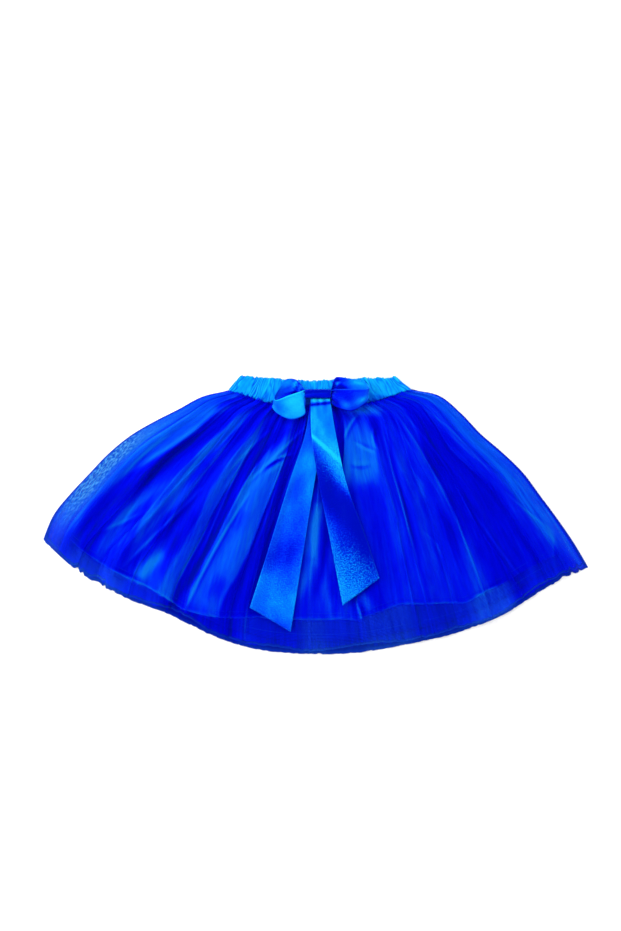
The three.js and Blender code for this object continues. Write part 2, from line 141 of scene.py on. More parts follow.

# Bands of painted light where the skirt's folds catch the light, and of painted shade where they lie deep
# between folds: left and right edge at the four places, how light, how soft the edges are, and the stretch
# down the skirt that the band runs over
BANDS = [
    ((-.02, -.02, -.02, -.02), (.08, .112, .055, .045), .85, .018, (0, 1)),
    ((.165, .13, .078, .056), (.185, .16, .1, .1), -.5, .01, (.12, 1)),
    ((.1, .1, .098, .09), (.13, .13, .125, .122), .45, .01, (.5, .95)),
    ((.19, .168, .15, .16), (.23, .2, .19, .19), .6, .012, (.05, .9)),
    ((.2, .19, .185, .18), (.25, .24, .235, .245), .5, .012, (.7, 1)),
    ((.22, .21, .195, .13), (.275, .25, .23, .165), -.35, .01, (0, .9)),
    ((.285, .262, .248, .222), (.3, .296, .272, .25), .6, .005, (.1, 1)),
    ((.3, .3, .274, .25), (.345, .327, .3, .274), -.5, .004, (.05, .97)),
    ((.385, .327, .3, .275), (.405, .4, .372, .34), .75, .008, (.16, .98)),
    ((.4, .4, .374, .342), (.44, .428, .406, .42), -.45, .004, (0, 1)),
    ((.575, .56, .57, .6), (.598, .578, .62, .645), -.5, .006, (0, 1)),
    ((.6, .58, .59, .6), (.7, .68, .66, .68), 1.0, .012, (.08, .42)),
    ((.52, .52, .525, .54), (.55, .56, .57, .58), .5, .01, (.72, .95)),
    ((.69, .68, .67, .67), (.72, .7, .7, .7), .3, .01, (.1, 1)),
    ((.74, .73, .72, .72), (.8, .77, .76, .77), .15, .012, (.1, 1)),
    ((.8, .8, .806, .8), (.85, .825, .824, .83), .35, .006, (0, 1)),
    ((.855, .828, .828, .845), (.905, .9, .93, .93), -.36, .01, (.06, 1)),
    ((.91, .93, .952, .95), (.955, .965, .97, .972), .45, .01, (0, 1)),
    ((.95, .965, .965, .965), (1.02, 1.02, 1.02, 1.02), .8, .01, (0, 1)),
]
SKIRT_BASE = -.3

# The strip of tulle below the satin's hem: stretches across, how light each is, and how much of its net
# shows without satin behind it
HEM_STRETCHES = [
    (0, .05, -.3, .2), (.05, .12, -.75, .7), (.12, .165, 0, .9), (.165, .235, -.3, .35), (.235, .38, -1, 0),
    (.38, .42, -.25, .2), (.42, .49, -.95, .2), (.49, .53, -.8, .9), (.53, .6, -.9, .45),
    (.6, .68, -.75, .8), (.68, .75, -.8, .3), (.75, .785, -.55, .4), (.785, .86, .15, 1),
    (.86, .895, -.75, .05), (.895, .985, -.5, .15), (.985, 1, .3, .3),
]

# Notches of the raw hem: place across, half width and depth
NOTCHES = [(.079, .007, .014), (.09, .004, .01), (.122, .014, .008), (.134, .003, .012), (.955, .01, .008),
           (.972, .004, .014), (.985, .003, .012)]

# Creases and fold edges drawn one by one, in plan: start, a point that it bends towards, end, half width,
# and how light the line is
LINES = [
    (-77, 75, -104, 23, -133, -49, 1.2, .45), (-76, 26, -116, -34, -151, -111, 1.3, .7),
    (-107, 98, -156, 32, -231, -46, 3, .3), (-127, 34, -167, -6, -222, -60, 1.7, .4),
    (-141, 86, -187, 52, -228, 6, 6, -.18), (-133, 101, -173, 75, -205, 52, 3, .3),
    (-167, 92, -202, 69, -222, 43, 1.7, .3), (-193, 6, -222, -9, -245, -17, 1.7, .3),
    (-236, -62, -213, -72, -193, -83, 1.5, .5), (-173, -40, -193, -60, -202, -72, 7, .45),
    (-156, -17, -162, -34, -170, -49, 4, -.3), (-90, 17, -127, -46, -162, -101, 4, -.35),
    (-11, 102, -41, 72, -78, 37, 1.5, .5), (-9, 98, -26, 46, -55, -20, 1.2, .45),
    (-41, 46, -52, 6, -70, -40, 1.4, .4), (-26, 70, -44, 68, -57, 57, 1.4, .6),
    (-38, 65, -48, 60, -58, 52, 2, -.6), (-52, 98, -75, 80, -104, 43, 1.7, .4),
    (-35, 98, -44, 80, -52, 72, 3, -.4), (48, 115, 37, 103, 32, 86, 1.4, .6),
    (66, 101, 63, 86, 70, 75, 1.4, .55), (45, 83, 57, 75, 68, 72, 1.5, .5),
    (40, 57, 51, 52, 63, 57, 2, -.4), (74, 109, 89, 43, 117, -52, 1.2, .4),
    (91, 112, 100, 92, 112, 72, 1.1, .21), (4, 9, -5, -17, 2, -63, 4, .4),
    (12, -11, 11, -52, -1, -92, 4, -.4), (47, -101, 51, -112, 53, -121, 1.4, .6),
    (80, 103, 96, 17, 133, -121, 1.1, .24), (89, 121, 150, 40, 189, -83, 1.2, .27),
    (97, 121, 140, 75, 172, 17, 1.2, .24), (172, 17, 206, -37, 247, -86, 1.2, .24),
    (109, 132, 169, 95, 212, 32, 1.2, .21), (212, 32, 238, 6, 270, -17, 1.2, .24),
    (273, -17, 271, -43, 275, -69, 1.1, .24), (181, -92, 198, -91, 215, -75, 1.2, .36),
    (169, -103, 163, -115, 163, -127, 1.2, .21), (114, 57, 129, 34, 109, 6, 6, .15),
    (140, 17, 149, -17, 169, -52, 8, -.3), (120, -17, 140, -29, 143, -46, 1.2, .15),
    (137, 112, 160, 83, 189, 60, 1.2, .18),
]

# How dark the shade beside each of those lines is, and how tall and how light the lines are
LINE_SHADE = .5
LINE_TALL = .5
LINE_LIGHT = 1.5

# Soft strokes of light and shade: start, bend and end in plan, half width, and how light
STROKES = [
    (-96, 123, -150, 80, -219, 21, 7, -.35), (-190, 52, -234, 14, -266, -34, 13, -.45),
    (-116, 105, -139, 86, -165, 66, 6, -.4), (-165, 40, -202, 17, -241, -20, 5, .4),
    (-179, 14, -202, -12, -234, -36, 5, .3), (-133, 3, -154, -29, -181, -66, 8, -.45),
    (-172, -43, -190, -56, -206, -72, 6, .35), (-310, -23, -301, -32, -289, -40, 7, -.5),
    (-269, -34, -262, -46, -255, -56, 7, -.35), (-43, 109, -60, 80, -76, 47, 7, -.5),
    (-80, 8, -87, -6, -96, -17, 10, -.45), (-103, -69, -114, -82, -126, -98, 12, -.5),
    (66, 114, 66, 100, 70, 89, 6, -.45), (125, 98, 134, 69, 143, 43, 8, -.25),
    (157, 29, 157, -6, 166, -34, 10, -.3), (274, -17, 280, -38, 285, -61, 7, -.6),
    (99, 52, 109, -6, 120, -52, 7, -.25), (212, 52, 235, 17, 258, -17, 5, .25),
    (103, 86, 95, 52, 102, 17, 7, .2), (3, 17, -2, -17, -4, -52, 6, 1),
    (26, -89, 24, -105, 21, -116, 7, -.4), (-96, 138, -108, 130, -117, 123, 5, -.35),
    (-225, 69, -202, 86, -162, 109, 7, .25), (-62, 52, -78, 29, -89, 12, 7, .3),
    (-124, 58, -147, 25, -170, 2, 7, .7), (-93, -10, -115, -42, -140, -86, 7, -.55),
    (-2, -50, -8, -64, -20, -98, 6, .5), (-306, -18, -296, -30, -268, -54, 13, -.75),
    (52, -86, 57, -99, 66, -113, 7, .8), (-134, 73, -148, 61, -166, 45, 7, -.45),
    (16, -50, 19, -78, 22, -96, 5, -.45), (70, -118, 90, -121, 115, -112, 8, -.5),
    (200, -76, 211, -86, 222, -92, 8, -.35), (-188, -38, -196, -47, -209, -62, 6, -.45),
    (-97, 126, -111, 121, -128, 110, 5, .5), (-118, 108, -133, 100, -152, 87, 5, .4),
    (-98, 88, -111, 71, -123, 55, 6, .5), (48, 72, 51, 54, 58, 36, 9, .5),
    (38, 121, 56, 122, 78, 119, 6, .9),
]

# How strong those strokes are on the net and on the satin
STROKES_ON_NET = 1.3
STROKES_ON_SATIN = 1.2

# The net before it is bunched: how much it covers in front, and at the back's sides and middle. Then how
# light the folds of its pleats are, how dark its seam and its outermost edge are, how wide that edge is as a
# share of the cloth, and how much of the edge, and of the strip below the satin, shows as net alone
FRONT_COVER = .44
BACK_SIDE_COVER = .86
BACK_COVER = .97
PLEAT_FOLD_LIGHT = .9
SEAM_DARK = .5
EDGE_DARK = 2.3
EDGE_WIDE = .0075
EDGE_BARE = .18
STRIP_BARE = .3

# Soft patches of sheen on the satin: place across and down, half width, half length, lean, how light
SATIN_PATCHES = [
    (.34, .5, .03, .1, .1, .35), (.31, .72, .025, .1, .1, .3), (.3, .88, .03, .05, 0, .25),
    (.62, .14, .02, .04, .1, .4), (.645, .25, .016, .035, -.1, .55), (.625, .31, .03, .012, .3, .4),
    (.66, .36, .03, .05, .2, .25), (.4, .2, .02, .03, -.3, .3), (.37, .24, .012, .02, -.4, .35),
    (.385, .3, .006, .05, .5, .3), (.49, .62, .01, .1, 0, .35), (.545, .74, .012, .05, 0, .3),
    (.53, .84, .02, .04, 0, .3), (.205, .88, .03, .05, .2, .3), (.16, .76, .01, .05, .2, .3),
]

# The bow: the lines across each wing's ribbon, from the knot out to the tip and back to the knot, each as top
# x, y, z and low x, y, z
LEFT_WING = [
    (-12.4, 144.2, 10.4, -12.4, 136, 9.9), (-22, 155, 11.2, -24, 131, 10.2),
    (-35.5, 154.6, 11.6, -40, 128, 11), (-45.5, 138.5, 14, -49.2, 124.5, 13),
    (-45, 131.5, 17.6, -43, 116, 14.4), (-31, 136.5, 19.4, -28, 109.6, 14.2),
    (-19, 140.6, 17.8, -13.2, 114.6, 13.4), (-15.4, 142.2, 16, -12.6, 123, 13),
    (-12.4, 143, 14.6, -12.4, 132, 12.8),
]
RIGHT_WING = [
    (18.2, 144.2, 10.4, 18.2, 138, 9.9), (23, 157.5, 11.4, 26, 137, 10.2),
    (39, 156.4, 11.2, 42, 134.6, 10.4), (54, 153.4, 11.8, 57, 135, 11.2), (60.4, 148, 14.4, 61, 134, 13.4),
    (58.5, 144.4, 18, 55, 126.5, 15), (40, 144.2, 19.8, 41, 118.8, 14.6),
    (25, 143.8, 17.4, 24, 123.4, 13.4), (18.2, 143, 14.6, 18.2, 129, 12.6),
]
WING_CROWN = 1.6
KNOT = {"left": -12, "right": 17.8, "low": 133.6, "high": 144.4, "under": 8, "over": 17.6}

# The tails from the knot down: left x, y, right x, y, and how far the middle lies off the net
TAIL_START = 133.2
RIGHT_TAIL = [
    (-5.5, TAIL_START, 16.5, TAIL_START, 2.9), (-4.6, 92, 24, 88, 2.6), (3, 40, 36, 34, 2),
    (17.5, -32, 56, -20, .6), (31, -103, 73, -72, .5),
]
LEFT_TAIL = [
    (-6, TAIL_START, 14, TAIL_START, .5), (-12, 92, 12, 88, .5), (-31, 34, .5, 46, .5),
    (-54, -40, -12, -30, .5), (-75, -105.5, -28.5, -133.5, .5),
]


def through(rows, share):
    """A smooth line through rows in equal steps, with its ends mirrored."""
    rows = np.array(rows, float)
    if rows.ndim == 1:
        rows = rows[:, None]
    last = len(rows) - 1
    place = np.clip(np.asarray(share, float), 0, 1) * last
    start = np.clip(np.floor(place).astype(int), 0, last - 1)
    rest = (place - start)[..., None]
    here, after = rows[start], rows[start + 1]
    before = np.where((start > 0)[..., None], rows[np.maximum(start - 1, 0)], 2 * here - after)
    beyond = np.where((start < last - 1)[..., None], rows[np.minimum(start + 2, last)], 2 * after - here)
    cubic = 3 * here - before - 3 * after + beyond
    square = 2 * before - 5 * here + 4 * after - beyond
    return .5 * (2 * here + (after - before) * rest + square * rest**2 + cubic * rest**3)


def mix(a, b, share):
    return a + (b - a) * share


def ease(value, low, high):
    share = np.clip((value - low) / (high - low), 0, 1)
    return share * share * (3 - 2 * share)


def between(value, low, high, soft):
    """1 from low to high, with soft edges."""
    return ease(value, low - soft, low + soft) * (1 - ease(value, high - soft, high + soft))


def wave(turns):
    return .5 - .5 * np.cos(2 * np.pi * turns)


def down_the_skirt(places, down):
    """A place given at the waist, upper, lower and hem stations, followed down the skirt."""
    return np.interp(down, (0, WAIST, UPPER, LOWER, HEM, 1), (places[0], *places, places[3]))


def patch_light(patches, across, down):
    """The sum of soft leaning patches."""
    light = np.zeros(np.shape(across))
    for at_across, at_down, wide, long, lean, strength in patches:
        off_down = (down - at_down) / long
        off_across = (across - at_across - lean * (down - at_down)) / wide
        light = light + strength * np.exp(-off_down**2 - off_across**2)
    return light


def line_light(lines, shade, place):
    """How light the drawn lines make a place. Each has a dark one beside it as strong as the shade says."""
    x, y = place[..., 0], place[..., 1]
    light = np.zeros(x.shape)
    pieces = 10
    for x0, y0, x1, y1, x2, y2, half_wide, strength in lines:
        t = np.linspace(0, 1, pieces + 1)
        line_x = (1 - t)**2 * x0 + 2 * t * (1 - t) * x1 + t * t * x2
        line_y = (1 - t)**2 * y0 + 2 * t * (1 - t) * y1 + t * t * y2
        reach = 4 * half_wide
        near = ((x > line_x.min() - reach) & (x < line_x.max() + reach)
                & (y > line_y.min() - reach) & (y < line_y.max() + reach))
        if not near.any():
            continue
        px, py = x[near], y[near]
        nearest, side, along = np.full(px.shape, np.inf), np.zeros(px.shape), np.zeros(px.shape)
        for k in range(pieces):
            ax, ay = line_x[k], line_y[k]
            bx, by = line_x[k + 1] - ax, line_y[k + 1] - ay
            share = np.clip(((px - ax) * bx + (py - ay) * by) / (bx * bx + by * by), 0, 1)
            off = np.hypot(px - ax - share * bx, py - ay - share * by)
            closer = off < nearest
            nearest = np.where(closer, off, nearest)
            side = np.where(closer, np.sign(bx * (py - ay) - by * (px - ax)), side)
            along = np.where(closer, (k + share) / pieces, along)
        shown = np.sqrt(np.sin(np.pi * np.clip(along, .01, .99)))
        signed = nearest * side / half_wide
        beside = shade * np.exp(-((signed - 2.2) / 1.4) ** 2)
        light[near] += strength * (np.exp(-signed**2) - beside) * shown
    return light


def smooth_down(places, down):
    """The line of down_the_skirt without corners at the stations."""
    nearby = (-.06, -.03, 0, .03, .06)
    return sum(down_the_skirt(places, down + step) for step in nearby) / len(nearby)


def plan(across, down):
    """The plan of the skirt, a patch between its four outline curves."""
    across, down = np.broadcast_arrays(np.asarray(across, float), np.asarray(down, float))
    a, d = across[..., None], down[..., None]
    corners = ((1 - a) * (1 - d) * np.array(SEAM_LINE[0]) + a * (1 - d) * np.array(SEAM_LINE[-1])
               + (1 - a) * d * np.array(HEM_LINE[0]) + a * d * np.array(HEM_LINE[-1]))
    along = (1 - d) * through(SEAM_LINE, across) + d * through(HEM_LINE, across)
    aside = (1 - a) * through(LEFT_SIDE, down) + a * through(RIGHT_SIDE, down)
    return along + aside - corners


def place_in_plan(x, y):
    """Across and down of points in millimetres, by Newton's steps from the middle."""
    nudge = 1e-3
    step_share = .7
    across = np.full(np.shape(x), .5)
    down = np.full(np.shape(x), .5)
    for _ in range(25):
        here = plan(across, down)
        per_across = (plan(across + nudge, down) - here) / nudge
        per_down = (plan(across, down + nudge) - here) / nudge
        miss_x, miss_y = x - here[..., 0], y - here[..., 1]
        area = per_across[..., 0] * per_down[..., 1] - per_across[..., 1] * per_down[..., 0]
        across = across + step_share * (miss_x * per_down[..., 1] - miss_y * per_down[..., 0]) / area
        down = down + step_share * (per_across[..., 0] * miss_y - per_across[..., 1] * miss_x) / area
        across, down = np.clip(across, 0, 1 - nudge), np.clip(down, 0, 1 - nudge)
    return across, down


def uneven_starts(count):
    k = np.arange(count)
    widths = 1 + .28 * np.sin(2.3 * k + .4) + .17 * np.sin(5.1 * k + 1)
    starts = np.concatenate([[0], np.cumsum(widths)])
    return starts / starts[-1]


GATHER_STARTS = uneven_starts(GATHERS)


def gathers_left_of(across):
    return np.interp(across, GATHER_STARTS, np.arange(GATHERS + 1))


def fold_height(folds, across, down):
    height = np.zeros(np.shape(across))
    for seam, hem, wide, tall in folds:
        off = np.abs(across - mix(seam, hem, down)) / (wide * mix(FOLD_WIDE_AT_SEAM, 1, down))
        height = height + np.where(off < 1, tall * wave(.5 - .5 * off), 0)
    return height * mix(FOLD_TALL_AT_SEAM, 1, ease(down, 0, FOLD_FULL_BY))


def settled(down):
    return 1 - HEM_SETTLE * ease(down, HEM_SETTLE_STARTS, 1)


def tulle_back_top(across, down):
    return TULLE_THICK + BACK_GATHER_TALL * wave(gathers_left_of(across)) + 0 * down


def satin_back_top(across, down):
    return tulle_back_top(across, down) + PLY_GAP + SATIN_THICK


def satin_inside(across):
    """0 at the satin's side edges, and 1 where it has its full loft."""
    in_left = ease(across, SATIN_LEFT, SATIN_LEFT + SATIN_LOFT_IN)
    return in_left * ease(1 - across, 1 - SATIN_RIGHT, 1 - SATIN_RIGHT + SATIN_LOFT_IN)


def satin_front_top(across, down):
    bell = SATIN_LOFT * ease(down, 0, LOFT_BY) + fold_height(SATIN_FOLDS, across, down)
    return satin_back_top(across, down) + PLY_GAP + SATIN_THICK + bell * satin_inside(across) * settled(down)


def tulle_front_top(across, down):
    clear = .004
    rise = ease(across, 0, SATIN_LEFT - clear) * ease(1 - across, 0, 1 - SATIN_RIGHT - clear)
    gathers = GATHER_TALL * wave(gathers_left_of(across)) * (1 - ease(down, 0, GATHER_ENDS))
    hem_waves = HEM_WAVE_TALL * wave(gathers_left_of(across) / 2) * ease(down, HEM_WAVE_STARTS, 1)
    bell = TULLE_LOFT * ease(down, 0, LOFT_BY) + fold_height(TULLE_FOLDS, across, down) + hem_waves
    over_satin = satin_front_top(across, down) + bell * settled(down) + gathers
    return mix(tulle_back_top(across, down), over_satin, rise) + PLY_GAP + TULLE_THICK


def crease_height(across, down):
    """The satin's creases, which lift the tulle over them too."""
    height = np.zeros(np.shape(across))
    for places, rise, fall, side, tall in CREASES:
        off = (across - smooth_down(places, down)) * side
        shape = ease(off, -rise, 0) * np.exp(-1.6 * np.maximum(off, 0) / fall)
        height = np.maximum(height, tall * shape)
    return height * ease(down, .05, .3) * settled(down)


def band_light(across, down):
    """The painted light and shade of the cloth, from about -1 in the deep gaps to 1 on the folds that face
    the light.
    """
    across = across + .006 * soft_noise(across * 22, down * 7, 3) * ease(down, .05, .3)
    across = across + .0022 * soft_noise(across * 90, down * 24, 4)
    light = np.full(np.shape(across), SKIRT_BASE)
    for lefts, rights, strength, soft, (first, last) in BANDS:
        left, right = smooth_down(lefts, down), smooth_down(rights, down)
        shown = between(across, left, right, .6 * soft)
        if first > 0:
            shown = shown * ease(down, first - .01, first + .14)
        if last < 1:
            shown = shown * (1 - ease(down, last - .12, last + .02))
        light = light + strength * shown
    return light


def hem_strip(across):
    """How light the strip of tulle below the satin is, and how much of its net shows alone."""
    light, clear = np.zeros(np.shape(across)), np.zeros(np.shape(across))
    for first, last, strength, alone in HEM_STRETCHES:
        inside = between(across, first, last, .014)
        light = light + strength * inside
        clear = clear + alone * inside
    return light, clear


def soft_noise(x, y, seed, octaves=3):
    """A smooth uneven field between about -1 and 1, made of a few slanted waves."""
    draws = np.random.default_rng(seed)
    field = 0
    for octave in range(octaves):
        size = .5**octave
        for _ in range(4):
            angle, phase = draws.uniform(0, 2 * np.pi, 2)
            turns = 2**octave * draws.uniform(.7, 1.3)
            field = field + size * np.sin(turns * (x * np.cos(angle) + y * np.sin(angle)) + phase)
    return field / 4


def raised(place, height):
    """Points of a plan at their heights."""
    return np.concatenate([place, height[..., None]], -1)


def grid_faces(rows, columns):
    near = (np.arange(rows - 1)[:, None] * columns + np.arange(columns - 1)[None, :]).ravel()
    far = near + columns
    return np.stack([near, far, far + 1, near + 1], 1)


def linked(name, data):
    """A new object in the scene's collection."""
    thing = bpy.data.objects.new(name, data)
    bpy.context.scene.collection.objects.link(thing)
    return thing


def make_mesh(name, points, quads, material, uv, values, tris=()):
    """A smooth-shaded object from points in millimetres, with its attributes' numbers for each point."""
    tris = np.array(tris, int).reshape(-1, 3)
    corners = np.concatenate([quads.ravel(), tris.ravel()]).astype(np.int32)
    starts = np.concatenate([np.arange(0, quads.size, 4), quads.size + np.arange(0, tris.size, 3)])
    mesh = bpy.data.meshes.new(name)
    mesh.vertices.add(len(points))
    mesh.vertices.foreach_set("co", (points * MM).astype(np.float32).ravel())
    mesh.loops.add(len(corners))
    mesh.loops.foreach_set("vertex_index", corners)
    mesh.polygons.add(len(starts))
    mesh.polygons.foreach_set("loop_start", starts.astype(np.int32))
    mesh.update(calc_edges=True)
    mesh.validate()
    layer = mesh.uv_layers.new(name="UVMap")
    layer.data.foreach_set("uv", uv[corners].astype(np.float32).ravel())
    for key, value in values.items():
        attribute = mesh.attributes.new(key, "FLOAT", "POINT")
        attribute.data.foreach_set("value", value.astype(np.float32))
    mesh.shade_smooth()
    mesh.materials.append(material)
    return linked(name, mesh)


def lengths_along(points):
    """The distance in metres along each row and down each column of a grid, for its UV map."""
    steps_x = np.linalg.norm(np.diff(points, axis=1), axis=2)
    steps_y = np.linalg.norm(np.diff(points, axis=0), axis=2)
    across = np.concatenate([np.zeros((len(points), 1)), np.cumsum(steps_x, 1)], 1)
    down = np.concatenate([np.zeros((1, points.shape[1])), np.cumsum(steps_y, 0)], 0)
    return np.stack([across, down], -1) * MM


def sheet_of(name, points, material, values, uv):
    """A sheet one surface thick over a grid of points, rows from the waist down."""
    quads = grid_faces(*points.shape[:2])
    flat_values = {key: value.ravel() for key, value in values.items()}
    return make_mesh(name, points.reshape(-1, 3), quads, material, uv.reshape(-1, 2), flat_values)


def normals_of(points):
    """Unit normals of a grid, pointing up where its rows run down and its columns to the right."""
    sideways, onwards = np.gradient(points, axis=1), np.gradient(points, axis=0)
    normal = np.cross(onwards, sideways)
    return normal / np.maximum(np.linalg.norm(normal, axis=2, keepdims=True), 1e-9)


def wall_of(name, points, thickness, material, values, uv=None):
    """A thin closed shell: the grid is its outer face, and the inner one lies a thickness below it."""
    rows, columns = points.shape[:2]
    inner = points - normals_of(points) * thickness
    uv = lengths_along(points) if uv is None else uv
    outer_faces = grid_faces(rows, columns)
    shift = rows * columns
    inner_faces = outer_faces[:, ::-1] + shift
    index = np.arange(shift).reshape(rows, columns)
    rim = np.concatenate([index[0, :-1], index[:-1, -1], index[-1, :0:-1], index[:0:-1, 0]])
    after = np.roll(rim, -1)
    rim_faces = np.stack([rim, after, after + shift, rim + shift], 1)
    quads = np.concatenate([outer_faces, inner_faces, rim_faces])
    both = np.concatenate([points.reshape(-1, 3), inner.reshape(-1, 3)])
    twice = {key: np.tile(value.ravel(), 2) for key, value in values.items()}
    return make_mesh(name, both, quads, material, np.tile(uv.reshape(-1, 2), (2, 1)), twice)


def tube_of(name, points, material, uv, values):
    """A closed tube over rings of points, with a point in the middle of each end. The values and the uv end
    with those of the two ends."""
    rings, loop = points.shape[:2]
    index = np.arange(rings * loop).reshape(rings, loop)
    after = np.roll(index, -1, axis=1)
    quads = np.stack([index[:-1], index[1:], after[1:], after[:-1]], -1).reshape(-1, 4)
    middle = rings * loop
    tris = [(index[0, k], after[0, k], middle) for k in range(loop)]
    tris += [(after[-1, k], index[-1, k], middle + 1) for k in range(loop)]
    every = np.concatenate([points.reshape(-1, 3), [points[0].mean(0), points[-1].mean(0)]])
    return make_mesh(name, every, quads, material, uv, values, tris)


class Nodes:
    """A short way to add nodes to a tree and join them."""

    def __init__(self, tree):
        self.tree = tree

    def add(self, kind, settings=None, **inputs):
        node = self.tree.nodes.new(kind)
        for key, value in (settings or {}).items():
            setattr(node, key, value)
        for key, value in inputs.items():
            self.give(node, key.replace("_", " "), value)
        return node

    def give(self, node, key, value):
        socket = node.inputs[int(key)] if key.isdigit() else node.inputs[key]
        if isinstance(value, bpy.types.NodeSocket):
            self.tree.links.new(value, socket)
        else:
            socket.default_value = value

    def math(self, operation, first, second=0.0, third=0.0, clamp=False):
        node = self.tree.nodes.new("ShaderNodeMath")
        node.operation = operation
        node.use_clamp = clamp
        for index, value in enumerate((first, second, third)):
            self.give(node, str(index), value)
        return node.outputs[0]

    def noise(self, place, scale, detail, roughness=.5):
        node = self.add("ShaderNodeTexNoise", Vector=place, Scale=scale, Detail=detail, Roughness=roughness)
        return node.outputs[0]

    def lane(self, uv, stretch, turn=0.0):
        """The UV with its way down the cloth scaled by the stretch, and turned."""
        node = self.add("ShaderNodeMapping", Vector=uv, Scale=(1.0, stretch, 1.0), Rotation=(0.0, 0.0, turn))
        return node.outputs[0]

    def attribute(self, name):
        return self.add("ShaderNodeAttribute", {"attribute_name": name}).outputs["Fac"]


def new_material(name):
    material = bpy.data.materials.new(name)
    material.use_nodes = True
    tree = material.node_tree
    tree.nodes.clear()
    nodes = Nodes(tree)
    shader = nodes.add("ShaderNodeBsdfPrincipled")
    output = nodes.add("ShaderNodeOutputMaterial")
    tree.links.new(shader.outputs[0], output.inputs[0])
    return material, nodes, shader


def tone_ramp(nodes, value, stops):
    """A colour ramp through (place, red, green, blue) stops."""
    ramp = nodes.add("ShaderNodeValToRGB", Fac=value)
    colours = ramp.color_ramp
    while len(colours.elements) < len(stops):
        colours.elements.new(.5)
    for element, (place, *colour) in zip(colours.elements, stops):
        element.position = place
        element.color = (*colour, 1)
    return ramp.outputs["Color"]


def light_of(nodes, uv, brushes):
    """The piece's own light attribute from 0 to 1, brushed uneven. A brush is a size, how much longer it is
    down the cloth than across, and an amount."""
    light = nodes.math("MULTIPLY_ADD", nodes.attribute("light"), .5, .5)
    for scale, stretch, amount in brushes:
        noise = nodes.noise(nodes.lane(uv, 1 / stretch), scale, 3.0, .6)
        light = nodes.math("ADD", light, nodes.math("MULTIPLY_ADD", noise, 2 * amount, -amount))
    return light


def satin_material(name, stops, roughness, tint, brushes, shine=.1, weave=1100.0):
    """Satin: long warp floats that shine, a fine weave, slubs along the warp and a soft uneven sheen."""
    material, nodes, shader = new_material(name)
    uv = nodes.add("ShaderNodeTexCoord").outputs["UV"]
    grain = nodes.noise(uv, weave, 2.0, .7)
    specks = nodes.math("MULTIPLY", nodes.math("SUBTRACT", grain, .5), nodes.attribute("grain"))
    light = nodes.math("MULTIPLY_ADD", specks, 6.0, light_of(nodes, uv, brushes), clamp=True)
    nodes.give(shader, "Base Color", tone_ramp(nodes, light, stops))
    nodes.give(shader, "Roughness", nodes.math("MULTIPLY_ADD", grain, .2, roughness - .1))
    slubs = nodes.noise(nodes.lane(uv, .12), 420.0, 3.0, .55)
    relief = nodes.math("MULTIPLY_ADD", slubs, .5, nodes.math("MULTIPLY", grain, .35))
    bump = nodes.add("ShaderNodeBump", Strength=.25, Distance=.0004, Height=relief)
    crinkle = nodes.noise(uv, 38.0, 3.0)
    wide = nodes.add("ShaderNodeBump", Strength=.4, Distance=.003, Height=crinkle, Normal=bump.outputs[0])
    nodes.give(shader, "Normal", wide.outputs[0])
    nodes.give(shader, "Specular IOR Level", shine)
    nodes.give(shader, "Specular Tint", (*tint, 1))
    nodes.give(shader, "Anisotropic", .4)
    return material


def tulle_material(name, stops, bare):
    """Tulle: a fine net, denser where it is gathered, over whatever lies below it. bare gives its colours
    where it is seen on its own."""
    material, nodes, shader = new_material(name)
    uv = nodes.add("ShaderNodeTexCoord").outputs["UV"]
    brushes = [(24.0, 3.0, .24), (90.0, 6.0, .24), (330.0, 12.0, .26), (900.0, 1.5, .1)]
    light = nodes.math("ADD", light_of(nodes, uv, brushes), 0.0, clamp=True)
    clear = nodes.attribute("clear")
    knots = nodes.noise(nodes.lane(uv, .4, .5), 560.0, 1.0)
    speckle = nodes.math("MULTIPLY", nodes.math("SUBTRACT", knots, .5), clear)
    bare_share = nodes.math("MULTIPLY", clear, .9, clamp=True)
    bare_light = nodes.math("MULTIPLY_ADD", speckle, nodes.math("MULTIPLY", clear, 1.5), .5)
    tone = nodes.add("ShaderNodeMix", {"data_type": "RGBA"}, Factor=bare_share)
    first_colour, second_colour = "6", "7"
    nodes.give(tone, first_colour, tone_ramp(nodes, light, stops))
    nodes.give(tone, second_colour, tone_ramp(nodes, bare_light, bare))
    nodes.give(shader, "Base Color", tone.outputs[2])
    net = nodes.add("ShaderNodeTexBrick", Vector=uv, Scale=620.0, Mortar_Size=.16, Mortar_Smooth=.3,
                    Brick_Width=1.0, Row_Height=.8)
    threads = net.outputs["Fac"]
    netted = nodes.math("MULTIPLY_ADD", threads, 1.4, -.6)
    streaky = nodes.math("MULTIPLY_ADD", nodes.noise(nodes.lane(uv, .05), 280.0, 3.0, .65), 1.8, -.9)
    ripples = nodes.add("ShaderNodeTexWave", Vector=nodes.lane(uv, 1.0, .6), Scale=85.0, Distortion=3.0,
                        Detail_Scale=3.0)
    rippled = nodes.math("MULTIPLY", nodes.math("SUBTRACT", ripples.outputs["Fac"], .5), clear)
    patterned = nodes.math("ADD", nodes.math("ADD", streaky, netted),
                           nodes.math("MULTIPLY_ADD", speckle, 1.2, rippled))
    cover = nodes.attribute("cover")
    uneven = nodes.math("MULTIPLY", patterned, nodes.math("SUBTRACT", 1.0, cover))
    nodes.give(shader, "Alpha", nodes.math("ADD", cover, uneven, clamp=True))
    bump = nodes.add("ShaderNodeBump", Strength=.3, Distance=.0003, Height=threads)
    nodes.give(shader, "Normal", bump.outputs[0])
    nodes.give(shader, "Roughness", .62)
    nodes.give(shader, "Specular IOR Level", .04)
    nodes.give(shader, "Specular Tint", (0, .3, 1, 1))
    return material


